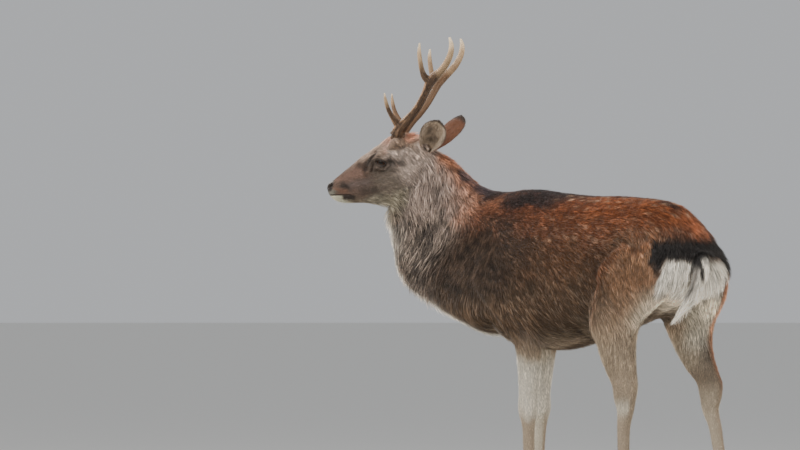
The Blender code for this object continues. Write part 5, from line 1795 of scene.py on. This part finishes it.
@dataclass
class Antler:
    """One antler of four points: burr, beam, brow tine and the two points of the top fork."""

    side: Side
    around: int = 40
    steps: int = 16
    voxel: float = 0.0015

    def path(self, rows: Rows, shortened: float = 1.0) -> tuple[Array, Array]:
        """A tine's middle line and its radii."""
        table = np.array(rows)
        table[:, :3] = table[0, :3] + (table[:, :3] - table[0, :3]) * shortened
        back, up, out, radii = flowing(table, self.steps).T
        return HEAD.point(back, up, -self.side.value * out), radii

    def rod(self, points: Array, radii: Array, seed: int) -> Surface:
        """A tube round the line, its radius drawn in by long grooves that fade at the tip.

        Args:
            points: the line.
            radii: its radius at each of them.
            seed: which grooves.

        Returns:
            The closed tube.
        """
        ahead = unit(np.gradient(points, axis=0))
        u = unit(np.cross(ahead, HEAD.left))
        v = np.cross(ahead, u)
        angle = circle(self.around)[None, :]
        run = np.linspace(0, 1, len(points))[:, None]
        rng = np.random.default_rng(seed)
        groove = np.zeros((len(points), self.around))
        for waves in (5, 8, 11):
            groove += np.sin(angle * waves + rng.uniform(0, 6.3) + run * rng.uniform(-5, 5))
        radius = radii[:, None] * (1 + 0.040 * groove * ramp(run, 1.0, 0.55))
        return tube(points[:, None, :] + u[:, None, :] * (radius * np.cos(angle))[..., None]
                    + v[:, None, :] * (radius * np.sin(angle))[..., None])

    def build(self, finish: Material) -> None:
        """Fuses beam and tines, adds pearls, and gives each point its place for the finish."""
        left = self.side is Side.LEFT
        points, radii = self.path(MAIN_BEAM)
        down = np.array((0.014, 0.007, 0.0015))[:, None]
        stalk = points[0] + unit(points[0] - points[1]) * down
        thin = radii[0] * np.array((0.76, 0.79, 0.84))
        lines = [(np.vstack([stalk, points]), np.concatenate([thin, radii])),
                 self.path(FRONT_TINE, 1.0 if left else 0.87), self.path(BROW_TINE)]
        made = fused([self.rod(*line, seed=60 + k) for k, line in enumerate(lines)], self.voxel)
        made = smoothed(made, 5, 0.9, spring=1.0)
        tip, foot, _ = self.along(made.points, lines)
        pearls = np.maximum(0, noise(made.points, 0.0042, 71)) ** 1.3 * 0.0016
        knobs = (0.5 + 0.9 * noise(made.points, 0.0045, 72)) * 0.0034 * bump(foot, 0.020, 0.012)
        made.points += made.normals() * (pearls * 0.5 * ramp(tip, 0.75, 0.25) + knobs)[:, None]
        # painted highlight: faces turned forward and up are paled, and the whole far antler a
        # little
        facing = made.normals() @ (0.35 * HEAD.up - HEAD.back)
        lit = 0.8 * ramp(facing + 0.30 * noise(made.points, 0.012, 73), 0.30, 1.05)
        name = f"antler_{self.side.label}"
        parts = ("base", "beam", "rear_tine", "front_tine", "brow_tine")
        piece(name, made, finish, [f"{name}_{part}" for part in parts], {
            "tipness": tip, "raised": noise(made.points, 0.0042, 71),
            # front carries the painted highlight's share
            "front": np.maximum(lit * ramp(foot, 0.02, 0.30), 0.0 if left else 0.22),
            "grain": self.along(made.points, lines)[2]})

    @staticmethod
    def along(points: Array, lines: Sequence[tuple[Array, Array]]) -> tuple[Array, Array, Array]:
        """Where points are on the antler, by the nearest station of its lines.

        Args:
            points: places on the antler.
            lines: the middle lines of beam and tines, with their radii.

        Returns:
            How near each point is to a tip, how far up the antler it is, and coordinates that run
            slowly along the antler and fast round it, for its long grooves.
        """
        middles = [line for line, _ in lines]
        counts = [len(line) for line in middles]
        stations = np.vstack(middles)
        ahead = np.vstack([unit(np.gradient(line, axis=0)) for line in middles])
        run = np.concatenate([np.cumsum(np.linalg.norm(
            np.diff(line, axis=0, prepend=line[:1]), axis=1)) for line in middles])
        tips = np.concatenate([np.linspace(s, 1, n) for s, n in zip((0.0, 0.45, 0.0), counts)])
        up_beam = np.maximum(np.linspace(-3 / (counts[0] - 4), 1, counts[0]), 0)
        foot = np.concatenate([up_beam, np.ones(counts[1]), np.linspace(0.22, 1, counts[2])])
        at = np.concatenate([((block[:, None] - stations[None]) ** 2).sum(-1).argmin(1)
                             for block in np.array_split(points, max(1, len(points) // 4000))])
        arm, way = points - stations[at], ahead[at]
        slid = dots(arm, way)
        arm = unit(arm - way * slid[:, None])
        u = unit(np.cross(way, HEAD.left))
        grain = np.column_stack([dots(arm, u) * 0.012, dots(arm, np.cross(way, u)) * 0.012,
                                 (run[at] + slid) * 0.045])
        return tips[at], foot[at], grain


# ---- feet ----
@dataclass
class Foot:
    """One foot's horn: two claws, flat below, and two dewclaws behind."""

    name: str
    x: float
    y: float
    height: float = 0.044
    long: float = 0.062
    wide: float = 0.0245
    cleft: float = 0.0022
    slope: float = 0.30

    def claw(self, inward: float) -> Surface:
        """A wedge: sections that widen down to the ground, round outside and flat inside."""
        middle_x, middle_z = self.x - 0.0275, self.height - 0.003
        t = np.array((0, 0.02, 0.06, 0.12, 0.25, 0.4, 0.55, 0.7, 0.82, 0.9, 0.96, 1.01, 1.05, 1.07))
        t = t[:, None]
        inset = np.interp(t, (0.82, 0.90, 0.96, 1.01, 1.05, 1.07),
                          (1, 0.985, 0.955, 0.88, 0.72, 0.45))
        around = np.linspace(0, 1, 30)[None, :]
        toe = middle_x - self.long * 0.62 + 0.0135 * t
        heel = middle_x + self.long * 0.36 + 0.0015 * t
        x = (toe + heel) / 2 - (heel - toe) / 2 * inset * np.cos(np.pi * around)
        bulge = np.interp(t, (0, 0.02, 0.06, 0.12, 1.0), (0.93, 0.95, 0.985, 1.0, 0.94))
        bulge = (self.wide - 0.0022) * bulge * (1 + 0.006 * np.sin(t * 40) * ramp(t, 0.1, 0.2))
        outline = np.sin(np.pi * around) ** 0.55
        y = self.cleft + bulge * inset * outline * (1 - 0.18 * (1 - around))
        top = middle_z - 0.0005 - self.slope * (x - middle_x)
        return tube(np.stack([x, self.y + inward * y, t * top], axis=-1))

    def dewclaw(self, at: Array) -> Surface:
        """A small blunt claw: a ball narrowed downwards, its tip drawn back and cut flat below."""
        claw = ball(at, (0.0085, 0.0065, 0.0125), np.eye(3), 20, 14)
        arm = claw.points - at
        arm[:, :2] *= (1 - 0.30 * ramp(arm[:, 2], 0.004, -0.011))[:, None]
        arm[:, 0] -= 0.30 * arm[:, 2]
        low = -0.0095 + 0.35 * arm[:, 0]
        arm[:, 2] = np.where(arm[:, 2] < low, low + 0.2 * (arm[:, 2] - low), arm[:, 2])
        return Surface(at + arm, claw.triangles)

    def build(self, finish: Material) -> None:
        """Claws and dewclaws as one piece."""
        outer = math.copysign(1.0, self.y)
        sides = (outer, -outer)
        shells = [self.claw(inward) for inward in sides]
        shells += [self.dewclaw(np.array((self.x + 0.0140, self.y + inward * 0.0120,
                                          LEGS.fetlock - 0.016))) for inward in sides]
        nodes = [f"{kind}_{self.name}_{which}" for kind in ("hoof", "dewclaw")
                 for which in ("outer", "inner")]
        piece(f"foot_{self.name}", together(shells), finish, nodes, sharp=48)


# ---- finishes ----
class Tree:
    """A material's or a group's node tree, with short ways to add and join nodes."""

    def __init__(self, tree: bpy.types.NodeTree) -> None:
        """Keeps the tree."""
        self.tree = tree

    def add(self, kind: str, settings: dict[str, object] | None = None,
            **values: object) -> bpy.types.Node:
        """Adds a node; a value that is a socket is joined, any other is set.

        Args:
            kind: the node's type, without its first word.
            settings: properties of the node itself.
            values: inputs by name, with _ for a space and i0, i1... for an input's number.

        Returns:
            The node.
        """
        node = self.tree.nodes.new(kind if kind.startswith("Node") else "ShaderNode" + kind)
        for label, value in (settings or {}).items():
            setattr(node, label, value)
        for label, value in values.items():
            number = label[1:] if label[0] == "i" and label[1:].isdigit() else None
            self.put(node.inputs[int(number) if number else label.replace("_", " ")], value)
        return node

    def put(self, socket: Socket, value: object) -> None:
        """Joins a socket to an input, or sets the input's own value."""
        if isinstance(value, Socket):
            self.tree.links.new(value, socket)
        else:
            socket.default_value = value

    def attribute(self, name: str, output: str = "Fac") -> Socket:
        """The value of an attribute: a number, or its Color or Vector."""
        return self.add("Attribute", {"attribute_name": name}).outputs[output]

    def place(self) -> Socket:
        """The point's place on its object."""
        return self.add("TexCoord").outputs["Object"]

    def noise(self, where: object, scale: float, detail: float,
              roughness: float = 0.5) -> Socket:
        """A Noise Texture's value."""
        return self.add("TexNoise", None, Vector=where, Scale=scale, Detail=detail,
                        Roughness=roughness).outputs["Fac"]

    def math(self, operation: str, a: object, b: object = 0.0) -> Socket:
        """A Math node's result."""
        return self.add("Math", {"operation": operation}, i0=a, i1=b).outputs[0]

    def mix(self, share: object, a: object, b: object) -> Socket:
        """A colour between two, by share; a colour given as three numbers is opaque."""
        a, b = (value + (1,) if isinstance(value, tuple) else value for value in (a, b))
        return self.add("Mix", {"data_type": "RGBA"}, i0=share, i6=a, i7=b).outputs[2]

    def scaled(self, vector: object, scale: object) -> Socket:
        """A vector or colour times a number."""
        return self.add("VectorMath", {"operation": "SCALE"}, i0=vector, Scale=scale).outputs[0]

    def ramp(self, value: object, low: float, high: float, to_low: object = 0.0,
             to_high: object = 1.0) -> Socket:
        """A value carried from one range to another and kept within it."""
        return self.add("MapRange", None, Value=value, From_Min=low, From_Max=high,
                        To_Min=to_low, To_Max=to_high).outputs[0]


class Group(Tree):
    """A shader node group with named sockets."""

    def __init__(self, name: str, inputs: dict[str, object], outputs: dict[str, str]) -> None:
        """Makes the group.

        Args:
            name: its name.
            inputs: default value of each input by name: a number, a vector or a colour.
            outputs: socket type of each output by name.
        """
        super().__init__(bpy.data.node_groups.new(name, "ShaderNodeTree"))
        kinds = {0: "Float", 3: "Vector", 4: "Color"}
        for label, value in inputs.items():
            kind = "NodeSocket" + kinds[len(value) if isinstance(value, tuple) else 0]
            socket = self.tree.interface.new_socket(label, in_out="INPUT", socket_type=kind)
            socket.default_value = value
        for label, kind in outputs.items():
            self.tree.interface.new_socket(label, in_out="OUTPUT", socket_type="NodeSocket" + kind)
        self.source = self.add("NodeGroupInput").outputs

    def end(self, **values: Socket) -> bpy.types.NodeTree:
        """Joins the results to the group's outputs and gives its tree."""
        self.add("NodeGroupOutput", None, **values)
        return self.tree


class Finish(Tree):
    """A material: its tree and its Principled shader, with the plain sockets set."""

    def __init__(self, name: str, roughness: float, **sockets: object) -> None:
        """Makes the material; sockets are the shader's inputs by name, with _ for a space."""
        self.made = bpy.data.materials.new(name)
        self.made.use_nodes = True
        super().__init__(self.made.node_tree)
        self.shader = self.tree.nodes["Principled BSDF"]
        self.end(Roughness=roughness, **sockets)

    def relief(self, height: object, strength: float, distance: float) -> None:
        """Raises the surface by a height."""
        bump_node = self.add("Bump", None, Strength=strength, Distance=distance, Height=height)
        self.end(Normal=bump_node.outputs["Normal"])

    def end(self, **values: object) -> Material:
        """Joins or sets the shader's inputs and gives the material."""
        for label, value in values.items():
            self.put(self.shader.inputs[label.replace("_", " ")], value)
        return self.made


def hair_grain_group() -> bpy.types.NodeTree:
    """Fine streaks along the lie of short hair: a tone for the colour and a height for the bump."""
    tree = Group("hair_grain", {"Space": (0, 0, 0), "Fineness": 1.0},
                 {"Tone": "Float", "Height": "Float"})
    space = tree.scaled(tree.source["Space"], tree.source["Fineness"])
    fine, broad = tree.noise(space, 900.0, 2.0, 0.6), tree.noise(space, 240.0, 2.0)
    height = tree.math("ADD", tree.math("MULTIPLY", fine, 0.6), tree.math("MULTIPLY", broad, 0.4))
    return tree.end(Tone=tree.ramp(height, 0.32, 0.68, 0.72, 1.25), Height=height)


def hair_tone_group() -> bpy.types.NodeTree:
    """A tuft's colour: its place's tint, times its tone, dark at the root and pale at the tip."""
    inputs = {"Tint": (1, 1, 1, 1), "Tone": 1.0, "Along": 0.5, "Root": 0.5, "Tip": 1.3}
    tree = Group("hair_tone", inputs, {"Colour": "Color"})
    span = tree.ramp(tree.source["Along"], 0.05, 0.9, tree.source["Root"], tree.source["Tip"])
    strength = tree.math("MULTIPLY", span, tree.source["Tone"])
    return tree.end(Colour=tree.scaled(tree.source["Tint"], strength))


@dataclass
class Finishes:
    """All the stag's materials, made once and shared by its pieces."""

    def __post_init__(self) -> None:
        """Makes the node groups that more than one finish uses."""
        self.grain = hair_grain_group()
        self.tone = hair_tone_group()

    def hair(self, name: str, root: float, tip: float) -> Material:
        """The coat's tufts: matte, with a little sheen, from a dark root to a pale tip."""
        tree = Finish(name, 0.62, Specular_IOR_Level=0.30, Sheen_Weight=0.12, Sheen_Roughness=0.45)
        group = tree.add("Group", {"node_tree": self.tone}, Tint=tree.attribute("tint", "Color"),
                         Tone=tree.attribute("tone"), Along=tree.attribute("along"),
                         Root=root, Tip=tip)
        return tree.end(Base_Color=group.outputs["Colour"])

    def skin(self) -> Material:
        """Skin under and between the tufts: short hair as streaks, wet dark nose, bare rims."""
        tree = Finish("skin", 0.7, Specular_IOR_Level=0.35)
        tint, nose = tree.attribute("tint", "Color"), tree.attribute("nose")
        grain = tree.add("Group", {"node_tree": self.grain}, Fineness=1.0,
                         Space=tree.attribute("hair_space", "Vector")).outputs
        pebbles = tree.add("TexVoronoi", {"feature": "SMOOTH_F1"}, Vector=tree.place(), Scale=620.0)
        tree.relief(tree.mix(nose, grain["Height"], pebbles.outputs["Distance"]), 0.7, 0.0012)
        return tree.end(Base_Color=tree.mix(nose, tree.scaled(tint, grain["Tone"]), tint),
                        Roughness=tree.ramp(nose, 0, 1, 0.72, 0.55))

    def antler(self) -> Material:
        """Antler: brown in the grooves, paler on the ridges, worn to ivory at the points, with a
        painted highlight on the faces turned forward and up.
        """
        tree = Finish("antler_bone", 0.5, Specular_IOR_Level=0.40)
        grain, tipness = tree.attribute("grain", "Vector"), tree.attribute("tipness")
        cloud = tree.noise(tree.place(), 45.0, 3.0)
        groove, fine = tree.noise(grain, 330.0, 3.0), tree.noise(grain, 1300.0, 2.0)
        pale, end = (
            tree.ramp(tree.math("ADD", tipness, tree.math("MULTIPLY", cloud, share)), low, high)
            for share, low, high in ((0.22, 0.76, 1.12), (0.10, 0.93, 1.05)))
        worn = tree.ramp(groove, 0.36, 0.68)
        colour = tree.mix(worn, (0.018, 0.008, 0.003), (0.082, 0.040, 0.014))
        for share, tint in (
                (tree.ramp(tree.attribute("raised"), 0.15, 0.6, 0.0, 0.5), (0.110, 0.060, 0.026)),
                (tree.ramp(cloud, 0.40, 0.70, 0.0, 0.45), (0.030, 0.014, 0.005)),
                # painted highlight on the faces turned forward and up, and on the far antler
                (tree.attribute("front"), (0.420, 0.230, 0.115)),
                (pale, (0.580, 0.400, 0.225)),
                (end, (0.860, 0.700, 0.480)),
                (tree.ramp(fine, 0.50, 0.75, 0.0, 0.35), (0.050, 0.026, 0.012))):
            colour = tree.mix(share, colour, tint)
        tree.relief(tree.math("ADD", groove, tree.math("MULTIPLY", fine, 0.35)), 0.8, 0.0016)
        return tree.end(Base_Color=colour, Roughness=tree.ramp(worn, 0, 1, 0.66, 0.50))

    def horn(self) -> Material:
        """Hoof horn: near black, with growth rings and a dusty wear towards the ground."""
        tree = Finish("hoof_horn", 0.42, Specular_IOR_Level=0.5)
        place = tree.place()
        rings = tree.add("Mapping", None, Vector=place, Scale=(0.3, 0.3, 2.2)).outputs[0]
        wave, grit = tree.noise(rings, 190.0, 2.0), tree.noise(place, 260.0, 4.0)
        height = tree.add("SeparateXYZ", None, Vector=place).outputs["Z"]
        worn = tree.math("MULTIPLY", tree.ramp(height, 0.022, 0.0), tree.ramp(grit, 0.35, 0.65))
        colour = tree.mix(tree.ramp(wave, 0.35, 0.65), (0.020, 0.016, 0.014), (0.052, 0.041, 0.034))
        colour = tree.mix(tree.math("MULTIPLY", worn, 0.6), colour, (0.115, 0.092, 0.070))
        tree.relief(wave, 0.5, 0.0008)
        return tree.end(Base_Color=colour, Roughness=tree.ramp(grit, 0.3, 0.7, 0.34, 0.60))

    def eye(self) -> Material:
        """The eye: dark brown iris with rays, a long blue-black pupil, under a wet coat."""
        tree = Finish("eye_wet", 0.25, Specular_IOR_Level=0.08, Coat_Weight=0.28,
                      Coat_Roughness=0.03)
        pupil = tree.ramp(tree.attribute("pupil"), 1.15, 0.9)
        white = tree.ramp(tree.attribute("iris"), 0.66, 0.78)
        rays = tree.ramp(tree.noise(tree.place(), 900.0, 3.0), 0.3, 0.7)
        colour = tree.mix(rays, (0.014, 0.007, 0.004), (0.040, 0.018, 0.008))
        colour = tree.mix(pupil, colour, (0.004, 0.003, 0.002))
        return tree.end(Base_Color=tree.mix(white, colour, (0.014, 0.009, 0.007)))

    def lid(self) -> Material:
        """Bare lid rims: near black at the edge, running into the coat's brown."""
        tree = Finish("lid_rim", 0.45, Specular_IOR_Level=0.45)
        crease = tree.noise(tree.place(), 700.0, 3.0)
        colour = tree.mix(tree.ramp(tree.attribute("across"), 0.30, 0.80),
                          (0.012, 0.008, 0.006), (0.060, 0.040, 0.028))
        colour = tree.mix(tree.ramp(crease, 0.4, 0.7, 0.0, 0.35), colour, (0.030, 0.022, 0.018))
        tree.relief(crease, 0.5, 0.0006)
        return tree.end(Base_Color=colour)


# ---- studio ----
@dataclass
class Studio:
    """A pale floor, soft lights and a far camera with a long lens."""

    turn: float = 42.0  # the camera's way round from square on to the left side, in degrees
    distance: float = 30.0
    height: float = 0.753
    aside: float = -0.347  # from the withers to the middle of the view, level
    span: float = 2.056  # width of the view at the withers
    sensor: float = 36.0  # width of the camera's sensor, in millimetres
    floor_radius: float = 60.0

    def camera(self) -> None:
        """Sets the camera level, behind the left shoulder line."""
        turn = math.radians(self.turn)
        right = np.array((math.cos(turn), math.sin(turn), 0.0))
        view = np.array((-math.sin(turn), math.cos(turn), 0.0))
        target = SHIFT + right * self.aside
        target[2] = self.height
        data = bpy.data.cameras.new("camera")
        data.lens = self.sensor * self.distance / self.span
        data.clip_end = 200
        bpy.context.scene.camera = self.stand("camera", data, target - view * self.distance, view)

    @staticmethod
    def stand(name: str, data: bpy.types.ID, place: Sequence[float],
              way: Sequence[float]) -> bpy.types.Object:
        """Stands a camera or light at a place, looking the way given."""
        obj = shown(name, data)
        obj.location = place
        obj.rotation_euler = Vector(way).to_track_quat("-Z", "Y").to_euler()
        return obj

    def floor(self) -> None:
        """A wide disc that the stag stands on."""
        count = 96
        angle = circle(count)
        rim = np.stack([np.cos(angle), np.sin(angle), 0 * angle], axis=1) * self.floor_radius
        edge = np.arange(count)
        triangles = np.stack([np.full(count, count), edge, np.roll(edge, -1)], axis=1)
        mesh = mesh_of("floor", Surface(np.vstack([rim, np.zeros((1, 3))]), triangles))
        mesh.materials.append(Finish("floor_pale", 0.85, Base_Color=(0.80, 0.79, 0.76, 1)).made)
        shown("floor", mesh)

    def light(self, name: str, place: Sequence[float], size: float, power: float,
              colour: Colour) -> None:
        """A square area light that looks at the stag's middle."""
        data = bpy.data.lights.new(name, "AREA")
        data.shape, data.size, data.energy, data.color = "SQUARE", size, power, colour
        self.stand(name, data, place, Vector((0.0, 0.0, 0.7)) - Vector(place))

    def build(self) -> None:
        """Sky, lights, floor and camera."""
        world = bpy.data.worlds.new("studio")
        world.use_nodes = True
        background = world.node_tree.nodes["Background"]
        background.inputs["Color"].default_value = (0.88, 0.90, 0.93, 1)
        background.inputs["Strength"].default_value = 0.55
        bpy.context.scene.world = world
        for name, place, size, power, colour in (
                ("key", (0.4, -3.4, 3.9), 2.0, 250, (1.0, 0.97, 0.93)),
                ("fill", (-4.2, -2.6, 1.8), 3.5, 40, (0.93, 0.96, 1.0)),
                ("rim_left", (-4.2, 1.0, 3.2), 1.8, 190, (1.0, 0.96, 0.90)),
                ("rim_right", (2.6, 3.4, 3.4), 2.2, 170, (1.0, 0.92, 0.82))):
            self.light(name, place, size, power, colour)
        self.floor()
        self.camera()


# ---- the whole stag ----
FLESH_NODES = (
    "head", "neck", "trunk", "tail",
    *(f"{limb}_{half}_{side.label}" for limb in ("foreleg", "hindleg")
      for half in ("upper", "lower") for side in Side),
)


def hair_space(p: Places) -> Array:
    """Coordinates for the short hair's streaks: squeezed along the lie of each part."""

    def turned(way: Sequence[float] | Array, squeeze: float) -> Array:
        """Coordinates with the part along the way kept short."""
        way = unit(np.array(way, float))
        return p.points - (p.points @ way)[:, None] * way * squeeze

    cheek = turned(HEAD.back * 0.50 - HEAD.up * 0.85, 0.60)
    head = blend(turned(HEAD.back, 0.70), cheek, (behind_eye(p) > 0.5).astype(float))
    neck, trunk = turned((0.25, 0, -0.97), 0.84), turned((0.85, 0, -0.5), 0.74)
    return head * p.head[:, None] + neck * p.neck[:, None] \
        + turned((0, 0, 1), 0.80) * p.legs[:, None] + trunk * p.trunk[:, None]


def build_skin(finishes: Finishes) -> Surface:
    """Makes the skin piece.

    Args:
        finishes: the stag's materials.

    Returns:
        The skin's surface, for the coat to stand on.
    """
    skin = Body().skin()
    places = Places(skin.points, skin.normals())
    tint = CoatFields(places).tint() * np.where(places.head > 0.5, 0.75, 0.50)[:, None]
    numbers = {"tint": tint, "hair_space": hair_space(places), "nose": nose_share(places)}
    piece("skin", skin, finishes.skin(), FLESH_NODES, numbers)
    return skin


def build_coat(skin: Surface, finishes: Finishes) -> None:
    """Makes the coat's pieces: mane, rump and tail with two rings to a tuft, the rest with one."""
    coat = Coat(skin)
    tufts = coat.grow()
    short, long = finishes.hair("hair_short", 0.45, 1.32), finishes.hair("hair_long", 0.42, 1.42)
    for name, which in coat.regions.items():
        rings = 2 if name.startswith(("coat_mane", "coat_rump", "coat_tail")) else 1
        mine = tufts.picked(which)
        most = PIECE_LIMIT // (6 * rings)
        if len(mine.roots) > most:
            LOG.warning("%s: %d tufts of %d kept", name, most, len(mine.roots))
            mine = mine.picked(np.linspace(0, len(mine.roots) - 1, most).astype(int))
        mine.patches = unwrapped(name, mine.roots, mine.normals)
        surface, numbers, patches = mine.surface(rings)
        piece(name, surface, long if rings == 2 else short, [], numbers, patches)


def whiskers() -> Tufts:
    """Long stiff hairs of chin and lips, bent back a little."""
    rng = np.random.default_rng(77)
    count = 64
    side = np.where(np.arange(count) % 2, 1.0, -1.0)
    chin = rng.random(count) < 0.55

    def either(on_chin: tuple[float, float], on_lip: tuple[float, float]) -> Array:
        """Numbers by chance from the chin's range or the lips'."""
        return np.where(chin, rng.uniform(*on_chin, count), rng.uniform(*on_lip, count))

    back = either((0.016, 0.050), (0.022, 0.045))
    up = either((-0.040, -0.030), (-0.014, -0.004))
    out = either((0.006, 0.018), (0.0215, 0.0235)) * side
    n = unit(HEAD.left * (np.where(chin, 0.35, 0.95) * side)[:, None]
             - HEAD.up * np.where(chin, 0.9, 0.2)[:, None])
    way = HEAD.back * rng.uniform(-0.5, 0.5, count)[:, None] + n * 1.6 \
        + rng.normal(0, 0.18, (count, 3)) - HEAD.up * 0.4
    length = rng.uniform(0.010, 0.024, count)
    lie = unit(way)
    tint = np.where(chin[:, None], (0.62, 0.58, 0.50), (0.10, 0.07, 0.055))
    return Tufts(HEAD.point(back, up, out) - n * 0.002, unit(np.cross(lie, HEAD.back)), lie, length,
                 np.full(count, 0.00030), 0.15 * length, tint, np.ones(count), np.zeros((count, 2)))


def joined(groups: Sequence[Tufts]) -> Tufts:
    """Several lots of tufts as one."""
    return Tufts(*(np.concatenate([getattr(g, name) for g in groups])
                   for name in Tufts.__dataclass_fields__))


def build_head(skin: Surface, finishes: Finishes) -> None:
    """Makes the eyes with their lids, the ears with their hair, the antlers and the whiskers."""
    eye, lid, bone = finishes.eye(), finishes.lid(), finishes.antler()
    hide, hair = bpy.data.materials["skin"], finishes.hair("hair_ear", 0.7, 1.2)
    bristles = [whiskers()]
    for side in Side:
        one = Eye(side)
        one.globe(eye)
        rim, across = one.lids(skin)
        piece(f"{side.label}_lids", rim, lid, [], {"across": across})
        bristles.append(one.lashes())
        ear = Ear(side)
        leaf, v, u, inside = ear.leaf()
        numbers = {"tint": ear.tint(leaf.points, v, u, inside) * 0.8,
                   "hair_space": leaf.points * 0.5, "nose": np.zeros(len(v))}
        piece(f"{side.label}_ear", leaf, hide, [f"ear_{side.label}"], numbers)
        surface, numbers, patches = ear.tufts(leaf, v, u, inside, 80).surface(1)
        piece(f"coat_{side.label}_ear", surface, hair, [], numbers, patches)
        Antler(side).build(bone)
    stiff = joined(bristles)
    stiff.patches = UNWRAPS["coat_head"].place(stiff.roots, stiff.normals)
    surface, numbers, patches = stiff.surface(2)
    piece("coat_bristles", surface, hair, [], numbers, patches)


def build_feet(finishes: Finishes) -> None:
    """Makes the four feet's horn."""
    horn = finishes.horn()
    for side in Side:
        for limb, (x, out) in (("foreleg", LEGS.fore[side][2:]), ("hindleg", LEGS.hind[side][3:])):
            Foot(f"{limb}_{side.label}", x, out * side.value).build(horn)


def main() -> None:
    """Loads the frame, builds the stag round it and sets the studio."""
    logging.basicConfig(level=logging.INFO, format="%(message)s")
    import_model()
    Studio().build()
    finishes = Finishes()
    skin = build_skin(finishes)
    build_head(skin, finishes)
    build_feet(finishes)
    build_coat(skin, finishes)


if __name__ == "__main__":
    main()
